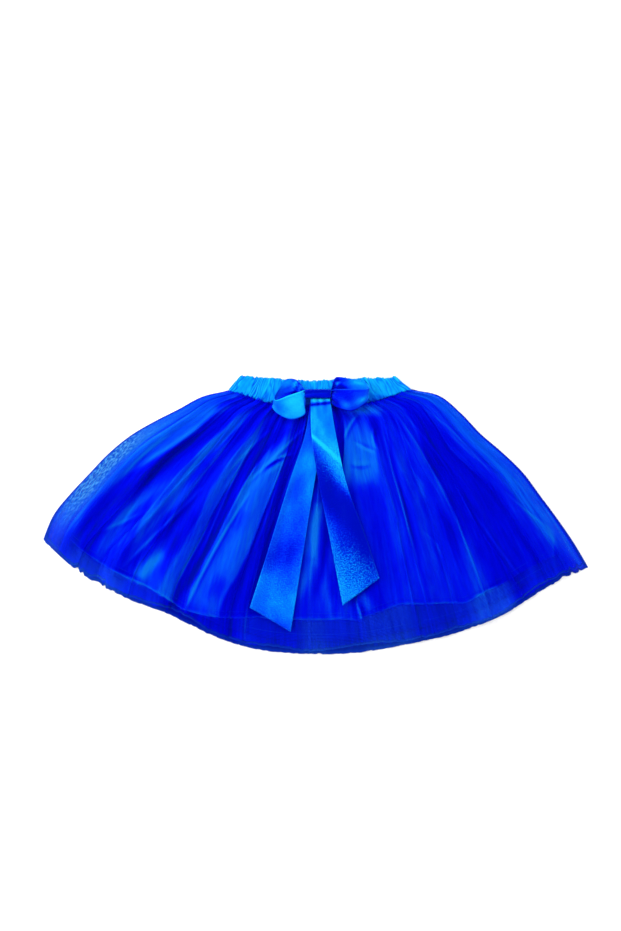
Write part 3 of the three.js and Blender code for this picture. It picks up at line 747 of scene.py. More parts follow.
def thread_material(name, colour):
    material, nodes, shader = new_material(name)
    twist = nodes.noise(nodes.add("ShaderNodeTexCoord").outputs["Object"], 1500.0, 1.0)
    deep = [.5 * part for part in colour]
    nodes.give(shader, "Base Color", tone_ramp(nodes, twist, [(.3, *deep), (.7, *colour)]))
    nodes.give(shader, "Roughness", .55)
    nodes.give(shader, "Specular Tint", (.05, .6, 1, 1))
    return material


SATIN = satin_material(
    "underskirt satin",
    [(0.0, 0, 0, .42), (.28, 0, .0004, .66), (.5, .001, .012, .76), (.75, .001, .08, .77),
     (1.0, .002, .2, .77)],
    .36, (0.0, .5, .9), [(22.0, 1.8, .24), (80.0, 2.5, .2), (400.0, 5.0, .16)])
# The wrong side is duller, and its darker ramp is also painted shade where the back panel lies under the
# front
SATIN_INSIDE = satin_material(
    "underskirt satin, wrong side",
    [(0.0, 0, 0, .3), (.5, 0, .004, .52), (1.0, .001, .06, .8)],
    .5, (0.0, .4, .8), [(16.0, 2.0, .1), (60.0, 4.0, .1)])
TULLE = tulle_material(
    "tulle",
    [(0.0, 0, .004, .32), (.05, 0, 0, .48), (.26, 0, .0004, .68), (.46, 0, .008, .76),
     (.69, .001, .048, .77), (.9, .002, .12, .76), (1.0, .004, .15, .76)],
    [(.36, .003, .045, .42), (.5, .012, .11, .5), (.64, .06, .28, .62)])
BAND_SATIN = satin_material(
    "waistband satin",
    [(0.0, 0, .03, .5), (.35, .001, .15, .7), (.6, .002, .27, .75), (1.0, .006, .46, .78)],
    .34, (0.0, .8, .95), [(30.0, 1.0, .14), (300.0, 3.0, .14)], shine=.25)
RIBBON_SATIN = satin_material(
    "ribbon satin",
    [(0.0, 0, 0, .36), (.25, 0, .001, .62), (.5, .001, .05, .74), (.75, .001, .17, .78),
     (1.0, .006, .44, .8)],
    .3, (0.0, .75, .95), [(26.0, 1.2, .16), (120.0, 1.5, .1), (600.0, 1.0, .06)], weave=900.0)
THREAD = thread_material("sewing thread", (.001, .04, .75))


def satin_front_reach(across):
    places, reaches = zip(*SATIN_FRONT_HEM)
    return np.interp(across, places, reaches)


def satin_back_reach(across):
    return through(SATIN_BACK_REACH, across)[..., 0]


def raw_edge(across, seed):
    """The small steps and nicks of net cut by hand, and the notches of both layers."""
    steps = np.round(1.6 * soft_noise(across * 95, 0 * across, seed)) / 1.6
    nicked = .0035 * steps + .002 * soft_noise(across * 420, 0 * across, seed + 1)
    for place, half_wide, deep in NOTCHES:
        nicked = nicked - deep * np.maximum(1 - np.abs(across - place) / half_wide, 0)
    return nicked


def tulle_front_reach(across):
    ripple = np.sin(TULLE_HEM_UNEVEN["waves"] * across) * np.cos(TULLE_HEM_UNEVEN["beats"] * across)
    return TULLE_FRONT_REACH + TULLE_HEM_UNEVEN["by"] * ripple + raw_edge(across, 51)


def cloth_uv(across, down):
    """Metres of the cloth before it is gathered, so that net and weave draw together towards the waist."""
    return np.stack([across * CUT_WIDE, down * CUT_LONG], -1)


def bunching(across, down):
    """How many times the net covers itself at a place, as its hem's width is drawn in towards the waist."""
    nudge = 1e-3
    painted_hem_highlight = np.linalg.norm(plan(across + nudge, 1) - plan(across - nudge, 1), axis=-1)
    here = np.linalg.norm(plan(across + nudge, down) - plan(across - nudge, down), axis=-1)
    return painted_hem_highlight / here


def net_cover(across, down, open_cover):
    return 1 - (1 - open_cover) ** (bunching(across, down) ** .6)


def pleat_path():
    """The front tulle from left to right: for each column its pleat, its pass and its share of that pass. A
    plain stretch runs up to each pleat, and a pleat is three passes, forwards, back and forwards."""
    columns = []
    plain_steps = 28
    pass_steps = 5
    for number in range(len(PLEATS) + 1):
        columns += [(number, 0, step / plain_steps) for step in range(plain_steps)]
        if number < len(PLEATS):
            columns += [(number, turn, step / pass_steps) for turn in (1, 2, 3) for step in range(pass_steps)]
    return columns + [(len(PLEATS), 0, 1.0)]


def pleat_spread(down):
    """How wide the pleats are down the skirt, against the width in the list."""
    return mix(PLEAT_WIDE_AT_WAIST, PLEAT_WIDE_LOW, ease(down, 0, .6))


def pleated_tulle():
    """Across, down and the height of the net's own plies for the front tulle, as grids."""
    path = pleat_path()
    downs = np.linspace(0, 1, 112)
    lows, highs, leans = [], [], []
    for places, wide, lean in PLEATS:
        half = wide * pleat_spread(downs) / 2
        lows.append(smooth_down(places, downs) - half)
        highs.append(smooth_down(places, downs) + half)
        leans.append(lean)
    across = np.zeros((len(downs), len(path)))
    ply = np.zeros(across.shape)
    for column, (number, turn, share) in enumerate(path):
        if turn == 0:
            start = highs[number - 1] if number else 0 * downs
            end = lows[number] if number < len(PLEATS) else 1 + 0 * downs
            across[:, column] = mix(start, end, share)
            fall = ease(share, .4, 0.0) if number and leans[number - 1] < 0 else 0
            rise = ease(share, .6, 1.0) if number < len(PLEATS) and leans[number] > 0 else 0
            ply[:, column] = 2 * (rise + fall)
        else:
            low, high = lows[number], highs[number]
            across[:, column] = mix(high, low, share) if turn == 2 else mix(low, high, share)
            from_top = turn - 1 if leans[number] > 0 else 3 - turn
            ply[:, column] = 2 - from_top
    return across, downs[:, None] * np.ones(len(path)), ply * PLEAT_PLY


def at_outline(across, down, reach):
    """1 on the very edge of the net, where it is folded or cut."""
    thinner_at_hem = 1.6
    nearest = np.minimum(np.minimum(across, 1 - across), (reach - down) * thinner_at_hem)
    return 1 - ease(nearest, 0, EDGE_WIDE)


def fold_edges(across, down):
    """A light line along the fold of each pleat, with a dark one in its shade."""
    light = np.zeros(np.shape(across))
    thin = .0022
    for number, (places, wide, lean) in enumerate(PLEATS):
        off = (across - smooth_down(places, down)) * lean - wide * pleat_spread(down) / 2
        strength = (.35 + .25 * np.sin(7 * down + 2.1 * number)) * mix(1, .4, ease(across, .52, .68))
        light = light + strength * np.exp(-((off + thin) / thin) ** 2)
        light = light - .3 * np.exp(-((off - 1.6 * thin) / (1.6 * thin)) ** 2)
    return light * ease(down, 0.0, .2)


def below_satin(across, down):
    """1 on the strip of net below the satin's hem, and coming in slowly beside the satin."""
    below_hem = ease(down - satin_front_reach(across), -.003, .004)
    return mix(ease(down, *BESIDE_SATIN), below_hem, ease(satin_inside(across), 0, .3))


def sheer_side(across, down):
    """1 where the net at the left edge lies clear of the satin, and shows the floor through it."""
    along = np.minimum(1.25 * np.exp(-((down - .61) / .26) ** 2), 1)
    return along * (1 - ease(across, .02, .05)) * ease(across, 0.0, .006)


def net_values(light, cover, bare_strip, edge, sheer):
    """The net's attributes. Its very edge is darker and closed, and is seen a little on its own."""
    clear = STRIP_BARE * bare_strip + sheer + EDGE_BARE * edge
    return {"light": light - EDGE_DARK * edge, "cover": mix(cover, 1, edge), "clear": clear}


def tulle_front():
    across, share, ply = pleated_tulle()
    reach = tulle_front_reach(across)
    down = share * reach
    place = plan(across, down)
    ruffle_long = .03
    at_seam = np.maximum(1 - down / ruffle_long, 0)
    ruffle = at_seam * np.maximum(.1 + 1.2 * soft_noise(across * 210, 0 * across, 71), 0)
    place[..., 1] += 3.6 * ruffle
    fine = .35 * np.sin(2 * np.pi * gathers_left_of(across) * 3.3) * (1 - ease(down, .02, .5))
    fine = fine + .25 * soft_noise(across * 60, down * 14, 5) * ease(down, .1, .3)
    drawn = line_light(LINES, LINE_SHADE, place)
    height = tulle_front_top(across, down) - TULLE_THICK + .25 + ply + crease_height(across, down) + fine
    height = height + 2.2 * ruffle + LINE_TALL * drawn
    points = raised(place, height)
    under = below_satin(across, down)
    strip_light, strip_clear = hem_strip(across)
    sheer = sheer_side(across, down)
    light = mix(band_light(across, down), strip_light - .05, under)
    light = light + STROKES_ON_NET * line_light(STROKES, 0, place) * (1 - .6 * under)
    light = soft_limit(light + .16 * soft_noise(across * 60, down * 5, 8))
    light = light + PLEAT_FOLD_LIGHT * fold_edges(across, down) + LINE_LIGHT * drawn
    light = light - SEAM_DARK * at_seam + .2 * sheer
    # Painted highlight of the satin's hem line, seen through the net
    painted_hem_highlight = np.exp(-((down - satin_front_reach(across) + .005) / .004) ** 2) * satin_inside(across)
    painted_hem_highlight = painted_hem_highlight * (1 - ease(across, *HEM_LINE_FADES)) * (.7 + .6 * soft_noise(across * 40, 0 * across, 9))
    cover = net_cover(across, down, FRONT_COVER) + .2 * sheer
    edge = at_outline(across, down, reach)
    values = net_values(light + .45 * painted_hem_highlight, cover, under * strip_clear, edge, sheer)
    return sheet_of("tulle_overskirt_front", points, TULLE, values, cloth_uv(across, down))


def tulle_back():
    across, share = np.meshgrid(np.linspace(0, 1, 520), np.linspace(0, 1, 70))
    reach = 1 + raw_edge(across, 61)
    down = share * reach
    place = plan(across, down)
    height = tulle_back_top(across, down) - .7 + .15 * soft_noise(across * 60, down * 14, 15)
    points = raised(place, height)
    shown = np.where(satin_inside(across) > .2, ease(down, .8, .86), ease(down, *BESIDE_SATIN))
    strip_light, strip_clear = hem_strip(across)
    sheer = sheer_side(across, down)
    light = mix(band_light(across, down) * .6, strip_light - .1, shown)
    light = light + .2 * soft_noise(across * 70, down * 5, 18) + .3 * sheer
    inside = ease(across, 0, .07) * ease(1 - across, 0, .05)
    cover = net_cover(across, down, mix(BACK_SIDE_COVER, BACK_COVER, inside)) - .1 * sheer
    edge = at_outline(across, down, reach)
    values = net_values(light, cover, shown * strip_clear, edge, sheer)
    return sheet_of("tulle_overskirt_back", points, TULLE, values, cloth_uv(across, down))


def soft_limit(light):
    """Keeps the lightest and the darkest places from running into each other."""
    most = .82
    return most * np.tanh(light / most)


def satin_front():
    across, share = np.meshgrid(np.linspace(SATIN_LEFT, SATIN_RIGHT, 420), np.linspace(0, 1, 100))
    down = share * satin_front_reach(across)
    place = plan(across, down)
    fine = .3 * soft_noise(across * 50, down * 9, 21) * ease(down, .05, .3)
    drawn = line_light(LINES, LINE_SHADE, place)
    height = satin_front_top(across, down) - .35 + crease_height(across, down) + fine + LINE_TALL * drawn
    points = raised(place, height)
    light = 1.15 * band_light(across, down) + .2 * soft_noise(across * 40, down * 7, 22)
    light = light + 1.2 * patch_light(SATIN_PATCHES, across, down)
    light = light + STROKES_ON_SATIN * line_light(STROKES, 0, place)
    light = soft_limit(light) + LINE_LIGHT * drawn
    from_hem = satin_front_reach(across) - down
    # Painted highlight along the turned hem, with a line of painted shade just above it
    folded = 1 - ease(from_hem, .005, .009) - .3 * np.exp(-((from_hem - .014) / .004) ** 2)
    values = {"light": light + folded * (1 - .8 * ease(across, *HEM_LINE_FADES))}
    return wall_of("satin_underskirt_front", points, SATIN_SHOWN, SATIN, values, cloth_uv(across, down))


def satin_back():
    across, share = np.meshgrid(np.linspace(SATIN_LEFT, SATIN_RIGHT, 240), np.linspace(0, 1, 60))
    down = share * satin_back_reach(across)
    height = satin_back_top(across, down) - .4 + .15 * soft_noise(across * 50, down * 9, 31)
    points = raised(plan(across, down), height)
    values = {"light": .5 * band_light(across, down) + .2 * soft_noise(across * 40, down * 7, 32)}
    return wall_of("satin_underskirt_back", points, SATIN_SHOWN, SATIN_INSIDE, values, cloth_uv(across, down))


def finished_by(thing, tree, settings):
    """Gives the object's geometry nodes their inputs, and turns what they make into its plain mesh."""
    modifier = thing.modifiers.new("made by rule", "NODES")
    modifier.node_group = tree
    sockets = {item.name: item.identifier for item in tree.interface.items_tree if item.in_out == "INPUT"}
    for key, value in settings.items():
        modifier[sockets[key]] = value
    graph = bpy.context.evaluated_depsgraph_get()
    made = bpy.data.meshes.new_from_object(thing.evaluated_get(graph), preserve_all_data_layers=True,
                                           depsgraph=graph)
    made.name = thing.name
    thing.modifiers.remove(modifier)
    thing.data = made
    return thing


def rule_tree(name, **inputs):
    """A geometry node tree with named inputs: the tree, its nodes, what it is given and its output node."""
    tree = bpy.data.node_groups.new(name, "GeometryNodeTree")
    tree.interface.new_socket("Geometry", in_out="INPUT", socket_type="NodeSocketGeometry")
    for key, value in inputs.items():
        label = key.replace("_", " ")
        socket = tree.interface.new_socket(label, in_out="INPUT", socket_type="NodeSocketFloat")
        socket.default_value = value
    tree.interface.new_socket("Geometry", in_out="OUTPUT", socket_type="NodeSocketGeometry")
    nodes = Nodes(tree)
    return tree, nodes, nodes.add("NodeGroupInput").outputs, nodes.add("NodeGroupOutput")


def finish_tree(nodes, geometry, output, material):
    realized = nodes.add("GeometryNodeRealizeInstances", Geometry=geometry)
    painted = nodes.add("GeometryNodeSetMaterial", Geometry=realized.outputs[0], Material=material)
    nodes.tree.links.new(painted.outputs[0], output.inputs[0])


def gathered_ribs_tree():
    """Raises uneven ribs on a band, across its "across" attribute and where its "face" attribute says."""
    tree, nodes, given, output = rule_tree("gathered ribs", Rib_Count=40.0, Rib_Height=.001, Unevenness=1.2,
                                           Seed=0.0)

    def named(key):
        node = nodes.add("GeometryNodeInputNamedAttribute", {"data_type": "FLOAT"}, Name=key)
        return node.outputs["Attribute"]

    def drift(turns, rise, detail):
        """Uneven numbers along the band that change slowly, or quickly where the turns are many."""
        place = nodes.add("ShaderNodeCombineXYZ", X=nodes.math("MULTIPLY", across, turns), Z=given["Seed"],
                          Y=nodes.math("MULTIPLY", up, rise))
        return nodes.noise(place.outputs[0], 1.0, detail)

    across, up, face = named("across"), named("up"), named("face")
    swing = nodes.math("MULTIPLY", nodes.math("SUBTRACT", drift(14.0, .55, 2.0), .5), given["Unevenness"])
    turns = nodes.math("MULTIPLY", across, given["Rib Count"])
    shifted = nodes.math("ADD", turns, nodes.math("MULTIPLY", swing, 3.0))
    rib = nodes.math("ABSOLUTE", nodes.math("SINE", nodes.math("MULTIPLY", shifted, math.pi)))
    tall = nodes.math("MULTIPLY_ADD", drift(90.0, 1.6, 3.0), 1.3, .1)
    rounded = nodes.math("MULTIPLY", nodes.math("POWER", rib, .7), tall)
    bunch_place = nodes.add("ShaderNodeCombineXYZ", X=nodes.math("MULTIPLY", across, 11.0), Y=given["Seed"])
    bunched = nodes.add("ShaderNodeMapRange", Value=nodes.noise(bunch_place.outputs[0], 1.0, 1.0),
                        From_Min=.42, From_Max=.58, To_Min=.12, To_Max=1.1)
    raised = nodes.math("MULTIPLY", nodes.math("MULTIPLY", rounded, face), bunched.outputs[0])
    height = nodes.math("MULTIPLY", raised, given["Rib Height"])
    normal = nodes.add("GeometryNodeInputNormal").outputs[0]
    offset = nodes.add("ShaderNodeVectorMath", {"operation": "SCALE"}, Vector=normal, Scale=height)
    moved = nodes.add("GeometryNodeSetPosition", Geometry=given["Geometry"], Offset=offset.outputs[0])
    # Painted light on the ribs: lighter on their tops and darker in the hollows, plus the band's painted
    # shade
    rib_painted_light = nodes.math("MULTIPLY", nodes.math("SUBTRACT", rounded, .6), bunched.outputs[0])
    lightness = nodes.math("ADD", nodes.math("MULTIPLY_ADD", rib_painted_light, 1.5, .08), named("shade"))
    stored = nodes.add("GeometryNodeStoreNamedAttribute", {"data_type": "FLOAT", "domain": "POINT"},
                       Geometry=moved.outputs[0], Name="light", Value=lightness)
    finish_tree(nodes, stored.outputs[0], output, BAND_SATIN)
    return tree


def stitches_tree():
    """Lays a stitch at every pitch along a line of edges."""
    tree, nodes, given, output = rule_tree("stitches", Pitch=.003, Stitch_Length=.0022,
                                           Thread_Radius=.0002)
    line = nodes.add("GeometryNodeMeshToCurve", Mesh=given["Geometry"])
    spaced = nodes.add("GeometryNodeResampleCurve", {"mode": "LENGTH"}, Curve=line.outputs[0],
                       Length=given["Pitch"])
    tangent = nodes.add("GeometryNodeInputTangent").outputs[0]
    turned = nodes.add("FunctionNodeAlignRotationToVector", {"axis": "X"}, Vector=tangent)
    stitch = nodes.add("GeometryNodeMeshUVSphere", Segments=6, Rings=4, Radius=.5)
    thick = nodes.math("MULTIPLY", given["Thread Radius"], 2.0)
    size = nodes.add("ShaderNodeCombineXYZ", X=given["Stitch Length"], Y=thick, Z=thick).outputs[0]
    laid = nodes.add("GeometryNodeInstanceOnPoints", Points=spaced.outputs[0], Instance=stitch.outputs[0],
                     Rotation=turned.outputs[0], Scale=size)
    finish_tree(nodes, laid.outputs[0], output, THREAD)
    return tree


def line_of(name, points):
    """A line of edges through points in millimetres, for a tree to work along."""
    mesh = bpy.data.meshes.new(name)
    mesh.from_pydata((points * MM).tolist(), [(k, k + 1) for k in range(len(points) - 1)], [])
    return linked(name, mesh)


STITCHES = stitches_tree()
RIBS = gathered_ribs_tree()


def band_plan(across, up):
    low = through(SEAM_LINE, across) + np.array([0, SEAM_GAP])
    return mix(low, through(BAND_TOP_LINE, across), up[..., None])


def band_shade(across, up):
    """Darker where the tulle rises beside the bow, and under the bow's edges."""
    tulle_slope = 4.2
    beside_bow = ease(.55 - tulle_slope * (across - .76) - up, -.05, .15) * ease(across, .68, .74)
    left_edge, right_edge = .437, .565
    under_bow = np.exp(-((across - left_edge) / .022) ** 4) + np.exp(-((across - right_edge) / .015) ** 4)
    return -.8 * beside_bow * (1 - ease(across, .87, .9)) - 1.2 * under_bow * (1 - ease(up, .4, .6))


def waistband(name, under, seed):
    """A closed flat tube of satin over elastic. Its section is a loop with a plump outer face, rounded edges
    and a flat underside, and its "face" attribute is 1 on the outer face."""
    face = np.linspace(0, 1, 23)
    edge = np.pi * np.arange(1, 6) / 6
    below = np.linspace(0, 1, 7)
    rim = .06
    ups = np.concatenate([mix(rim, 1 - rim, face), 1 - rim + rim * np.sin(edge), mix(1 - rim, rim, below),
                          rim - rim * np.sin(edge)])
    tops = np.concatenate([1 + .1 * np.sin(np.pi * face), .5 + .5 * np.cos(edge), 0 * below,
                           .5 - .5 * np.cos(edge)])
    outer = np.concatenate([1 + 0 * face, np.cos(edge / 2) ** .5, 0 * below, .6 * np.sin(edge / 2) ** .5])
    along = np.linspace(0, 1, 620)
    from_end = np.minimum(np.minimum(along, 1 - along) / .05, 1)
    fullness = mix(.45, 1.0, np.sqrt(1 - (1 - from_end) ** 2))
    across, up = np.meshgrid(along, ups, indexing="ij")
    place = band_plan(across, up)
    scallops = soft_noise(across * 75, 0 * across, seed)
    scallops = scallops + .6 * soft_noise(across * 150, 0 * across, seed + 1)
    place[..., 1] += 1.6 * scallops * ease(up, .5, 1) - .5 * scallops * ease(1 - up, .7, 1)
    height = under + BAND_THICK * fullness[:, None] * tops
    points = raised(place, height)
    values = {
        "across": np.append(across, [0, 1]),
        "up": np.append(up, [.5, .5]),
        "face": np.append(outer + 0 * across, [0, 0]),
        "shade": np.append(band_shade(across, up), [0, 0]),
    }
    long_metres, wide_metres = .21, .03
    uv = np.stack([values["across"] * long_metres, values["up"] * wide_metres], 1)
    return tube_of(name, points, BAND_SATIN, uv, values)


def wing(name, table, seed, painted_light, patches):
    """One wing of the bow: the ribbon's lines smoothed, with puckers that run out from the knot."""
    along, share = np.meshgrid(np.linspace(0, 1, 110), np.linspace(0, 1, 34), indexing="ij")
    lines = through(table, along)
    points = mix(lines[..., :3], lines[..., 3:], share[..., None])
    points[..., 2] += WING_CROWN * np.sin(np.pi * share) * np.sin(2 * np.pi * np.maximum(0, along - .5))
    knot_end = np.maximum(1 - along / .3, 0) + np.maximum(1 - (1 - along) / .22, 0)
    puckers = np.sin(2 * np.pi * (2.6 * share + .35 * np.sin(5 * share + seed))) * knot_end * .9
    rear = 1 - ease(along, .3, .5)
    crumple = soft_noise(share * 9 + seed, along * 16, seed, 2) * rear * .9 * ease(along, 0, .08)
    crushed = soft_noise(share * 20, along * 90, seed + 5) * np.exp(-((along - .1) / .07) ** 2)
    crumple = crumple + .7 * crushed * (1 - ease(share, .5, .8))
    normal = normals_of(points)
    normal[0, :, 0] = normal[-1, :, 0] = 0
    points = points + normal * (puckers + crumple)[..., None]
    # Painted light and shade along the wing, lighter on raised puckers and crumples, darker in their hollows
    light = through(painted_light, along)[..., 0] + .35 * puckers + .35 * crumple + .6 * crushed
    light = light + .12 * soft_noise(share * 4, along * 8, seed + 1) + patch_light(patches, along, share)
    # Painted highlight along the front leaf's top edge and painted shade along its lower edge
    front = ease(along, .4, .5)
    light = light + (.5 * (1 - ease(share, .02, .07)) - .9 * ease(share, .95, .99)) * front
    return wall_of(name, points, RIBBON_SHOWN, RIBBON_SATIN, {"light": light, "grain": .06 + 0 * light})


def crest_near(x, y):
    """The height of the front tulle's highest point within a tail's stiff reach."""
    height = np.zeros(np.shape(x))
    for off_x in (-10, -5, 0, 5, 10):
        for off_y in (-10, 0, 10):
            across, down = place_in_plan(x + off_x, y + off_y)
            height = np.maximum(height, tulle_front_top(across, down) + crease_height(across, down))
    return height


def tail_grid(table, rows, columns):
    """Along, share of the width, x, y and lift of a tail, as grids."""
    along, share = np.meshgrid(np.linspace(0, 1, rows), np.linspace(0, 1, columns), indexing="ij")
    left_x, left_y, right_x, right_y, lift = np.moveaxis(through(table, along), -1, 0)
    return along, share, mix(left_x, right_x, share), mix(left_y, right_y, share), lift


def tail(name, table, seed, painted_light, slant, patches, grains, bends):
    """A tail of the bow. Its table of painted light gives the light and shade painted along its length,
    grains and bends give its grain and its own rise, and slant is how much later the painted light comes at
    its right edge."""
    _, _, x, y, lift = tail_grid(table, 25, 5)
    resting = crest_near(x, y) + lift
    along, share, x, y, _ = tail_grid(table, 150, 34)
    down_columns = np.stack([through(column, along[:, 0])[..., 0] for column in resting.T], 1)
    height = np.stack([through(row, share[0])[..., 0] for row in down_columns])
    gathered = np.maximum(1 - along / .16, 0) ** 1.3
    pucker = .8 * gathered * np.sin(2 * np.pi * (2.2 * share + .2 * np.sin(4 * share + seed)))
    ripple = .22 * soft_noise(share * 3, along * 14, seed, 2)
    height = height + RIBBON_SHOWN + .5 + through(bends, along)[..., 0] + np.maximum(pucker, -.4) + ripple
    # Painted light and shade along the tail, lighter on the puckers by the knot
    light = through(painted_light, along - slant * (share - .5))[..., 0] + .3 * pucker
    light = light + .22 * soft_noise(share * 5, along * 12, seed + 3) + patch_light(patches, along, share)
    # Painted highlight along both edges of the tail
    light = light + .15 * (1 - ease(np.minimum(share, 1 - share), .015, .04))
    values = {"light": light, "grain": through(grains, along)[..., 0]}
    return wall_of(name, np.stack([x, y, height], -1), RIBBON_SHOWN, RIBBON_SATIN, values)


def knot():
    """The ribbon wrapped round the middle of the bow: a closed band with drawn-in ends and long tucks."""
    middle_y, middle_z = (KNOT["low"] + KNOT["high"]) / 2, (KNOT["under"] + KNOT["over"]) / 2
    half_y, half_z = (KNOT["high"] - KNOT["low"]) / 2, (KNOT["over"] - KNOT["under"]) / 2
    turns = np.linspace(0, 2 * np.pi, 64, endpoint=False)
    across, around = np.meshgrid(np.linspace(0, 1, 60), turns, indexing="ij")
    square = (np.abs(np.cos(around)) ** 5 + np.abs(np.sin(around)) ** 5) ** (-1 / 5)
    tucks = .22 * np.sin(3 * around + 2.2 * np.sin(3 * across)) + .12 * np.sin(7 * around + 4 * across)
    drawn = 1 - .16 * (2 * np.abs(across - .5)) ** 6
    x = mix(KNOT["left"] + .1, KNOT["right"] - .1, across)
    y = middle_y + (half_y * square * drawn + tucks - .5) * np.cos(around)
    z = middle_z + (half_z * square * drawn + tucks - .5) * np.sin(around)
    # Painted shade: the knot is dark all over, a little lighter on its tucks
    light = np.append(-.85 + .5 * tucks, [-1, -1])
    uv = np.stack([np.append(across, [0, 1]) * .03, np.append(around, [0, 0]) * .007], 1)
    return tube_of("bow_knot_wrap", np.stack([x, y, z], -1), RIBBON_SATIN, uv, {"light": light})


def hem_stitches(name, reach, top, lift):
    """A row of stitches a little above the satin's hem, on top of the cloth."""
    across = np.linspace(SATIN_LEFT + .002, SATIN_RIGHT - .002, 500)
    down = reach(across) - HEM_WIDE
    height = top(across, down) + lift
    line = line_of(name, raised(plan(across, down), height))
    sizes = {"Pitch": 2.6 * MM, "Stitch Length": 2.1 * MM, "Thread Radius": .28 * MM}
    return finished_by(line, STITCHES, sizes)


def creased_satin_top(across, down):
    return satin_front_top(across, down) + crease_height(across, down)


def points_out(thing):
    """Turns a closed piece the right way round if its faces point inwards."""
    mesh = thing.data
    points = np.zeros(len(mesh.vertices) * 3, np.float32)
    mesh.vertices.foreach_get("co", points)
    mesh.calc_loop_triangles()
    corners = np.zeros(len(mesh.loop_triangles) * 3, np.int32)
    mesh.loop_triangles.foreach_get("vertices", corners)
    a, b, c = points.reshape(-1, 3).astype(float)[corners.reshape(-1, 3).T]
    if np.einsum("ij,ij->", a, np.cross(b, c)) < 0:
        mesh.flip_normals()
    return thing


def camera():
    """Looks straight down on the skirt, with the photo's margins round it."""
    frame_high = 1070.7 * MM
    above = 2.0
    data = bpy.data.cameras.new("camera")
    data.sensor_fit = "VERTICAL"
    data.sensor_width = data.sensor_height = 36
    data.lens = 36 * above / frame_high
    bpy.context.scene.camera = linked("camera", data)
    bpy.context.scene.camera.location = (-5.75 * MM, 56.9 * MM, above)


def softbox(name, place, aim, wide, deep, watts):
    data = bpy.data.lights.new(name, "AREA")
    data.shape = "RECTANGLE"
    data.size, data.size_y = wide, deep
    data.energy = watts
    thing = linked(name, data)
    thing.location = place
    direction = thing.location - type(thing.location)(aim)
    thing.rotation_euler = direction.to_track_quat("Z", "Y").to_euler()


def studio():
    """A plain pale floor under an even white room, with soft boxes from behind and from both sides."""
    world = bpy.data.worlds.new("studio")
    world.use_nodes = True
    room = world.node_tree.nodes["Background"]
    room.inputs["Color"].default_value = (1, 1, 1, 1)
    room.inputs["Strength"].default_value = .66
    bpy.context.scene.world = world
    softbox("top softbox", (-.25, 1.3, .9), (0, 0, 0), 1.6, .7, 17)
    softbox("left softbox", (-1.5, .2, .8), (-.1, 0, 0), .5, 1.2, 26)
    softbox("right softbox", (1.5, .1, .9), (.1, 0, 0), .5, 1.2, 10)
    half = 4.0
    mesh = bpy.data.meshes.new("floor")
    corners = [(-half, -half, 0), (half, -half, 0), (half, half, 0), (-half, half, 0)]
    mesh.from_pydata(corners, [], [(0, 1, 2, 3)])
    material, nodes, shader = new_material("pale floor")
    uneven = nodes.noise(nodes.add("ShaderNodeTexCoord").outputs["Object"], 3.0, 2.0)
    tone = tone_ramp(nodes, uneven, [(0, .97, .97, .975), (1, .98, .98, .98)])
    nodes.give(shader, "Base Color", tone)
    nodes.give(shader, "Roughness", .9)
    nodes.give(shader, "Specular IOR Level", .1)
    mesh.materials.append(material)
    floor = linked("floor", mesh)


camera()
studio()
bpy.context.scene.view_settings.view_transform = "Standard"


def place_piece(thing, slot, *nodes):
    """Rides the piece on the one body and lets it stand for its solids. The slot it is given is not used."""
    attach(thing, "root")
    if nodes:
        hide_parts(*nodes)
    return thing


skirt_back = place_piece(tulle_back(), "tulle", "tulle_back")
under_back = place_piece(points_out(satin_back()), "satin", "satin_back")
under_front = place_piece(points_out(satin_front()), "satin", "satin_front")
skirt_front = place_piece(tulle_front(), "tulle", "tulle_front")

band_back = waistband("waistband_lower_ply", 0.0, 4)
band_front = finished_by(waistband("waistband_upper_ply", BAND_FRONT_UNDER, 9), RIBS,
                         {"Rib Count": 38.0, "Rib Height": 1.1 * MM, "Unevenness": 2.6, "Seed": 9.0})
place_piece(points_out(band_back), "waistband", "waistband_back")
place_piece(points_out(band_front), "waistband", "waistband_front")

# Each wing's painted light and shade from its rear leaf round to its front leaf, with patches of painted
# highlight and shade at places along and across
WING_PAINTED_LIGHT_LEFT = [-.4, -.05, .1, .3, .5, .68, .6, .35]
WING_PATCHES_LEFT = [(.1, .62, .07, .08, 0, -.9), (.22, .75, .08, .08, 0, -.6), (.2, .3, .1, .15, 0, .2),
                     (.7, .6, .1, .3, 0, .25), (.88, .9, .06, .1, 0, -.5), (.52, .5, .04, .4, 0, -.3)]
WING_PAINTED_LIGHT_RIGHT = [-1, -.9, .2, .35, -.1, -.45, -.75, -.95]
WING_PATCHES_RIGHT = [(.13, .3, .04, .1, 0, 1.2), (.18, .6, .04, .12, 0, -.9), (.08, .55, .02, .1, 0, .9),
                      (.66, .62, .07, .2, 0, .9), (.5, .8, .06, .2, 0, .5), (.8, .75, .05, .2, 0, .8),
                      (.86, .4, .08, .4, 0, .25), (.32, .3, .08, .3, 0, .15)]
wing_left = wing("bow_wing_left_ribbon", LEFT_WING, 3, WING_PAINTED_LIGHT_LEFT, WING_PATCHES_LEFT)
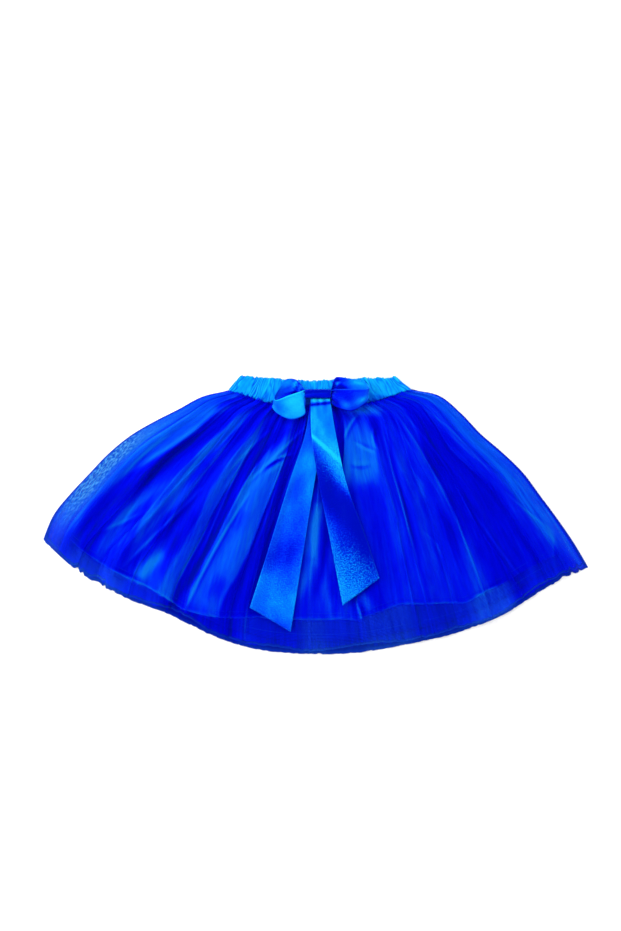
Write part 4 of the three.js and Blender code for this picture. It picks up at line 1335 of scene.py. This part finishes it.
wing_right = wing("bow_wing_right_ribbon", RIGHT_WING, 7, WING_PAINTED_LIGHT_RIGHT, WING_PATCHES_RIGHT)
place_piece(points_out(wing_left), "ribbon", "bow_wing_left")
place_piece(points_out(wing_right), "ribbon", "bow_wing_right")
bow_knot = place_piece(points_out(knot()), "ribbon", "bow_knot")

# Each tail's painted light and shade from the knot down, with patches of painted highlight and shade: place
# along and across, half length, half width, lean, how light
TAIL_PAINTED_LIGHT_LEFT = [-.6, -.4, -.1, .35, .05, -.1, .1, .28]
TAIL_PATCHES_LEFT = [(.4, .85, .1, .3, 0, .2), (.52, .3, .06, .4, 0, -.25), (.79, .38, .07, .5, 0, -.6),
                     (.57, .9, .06, .25, 0, .35), (.93, .75, .05, .4, 0, .25), (1, .7, .03, .4, 0, -.4),
                     (.6, .15, .03, .2, 0, .2), (.86, .2, .05, .4, 0, .25)]
TAIL_PAINTED_LIGHT_RIGHT = [.5, .4, .65, .3, -1.1, -1.3, -.7, -.25, .15]
TAIL_PATCHES_RIGHT = [(.318, .5, .018, 1.2, .125, .75), (.034, .5, .01, 1.5, -.02, -1.6),
                      (.012, .5, .01, 1.5, 0, .5), (.7, .02, .1, .2, 0, .4), (.83, .95, .1, .28, 0, -1.6),
                      (.47, .1, .05, .3, 0, -.2), (.79, .4, .05, .25, 0, -.35), (.9, .4, .06, .3, 0, -.15)]
tail_left = tail("bow_tail_left_ribbon", LEFT_TAIL, 11, TAIL_PAINTED_LIGHT_LEFT, 0, TAIL_PATCHES_LEFT,
                 [.05, .08, .12, .2, .25, .2], [0, 0])
tail_right = tail("bow_tail_right_ribbon", RIGHT_TAIL, 17, TAIL_PAINTED_LIGHT_RIGHT, .22, TAIL_PATCHES_RIGHT,
                  [.05, .05, .15, .8, .3, .4, 1.1, .8], [0, .6, 1.2, .4, 0])
place_piece(points_out(tail_left), "ribbon", "bow_tail_left")
place_piece(points_out(tail_right), "ribbon", "bow_tail_right")

place_piece(hem_stitches("satin_front_hem_stitches", satin_front_reach, creased_satin_top, -.2), "satin")
place_piece(hem_stitches("satin_back_hem_stitches", satin_back_reach, satin_back_top, -.25), "satin")
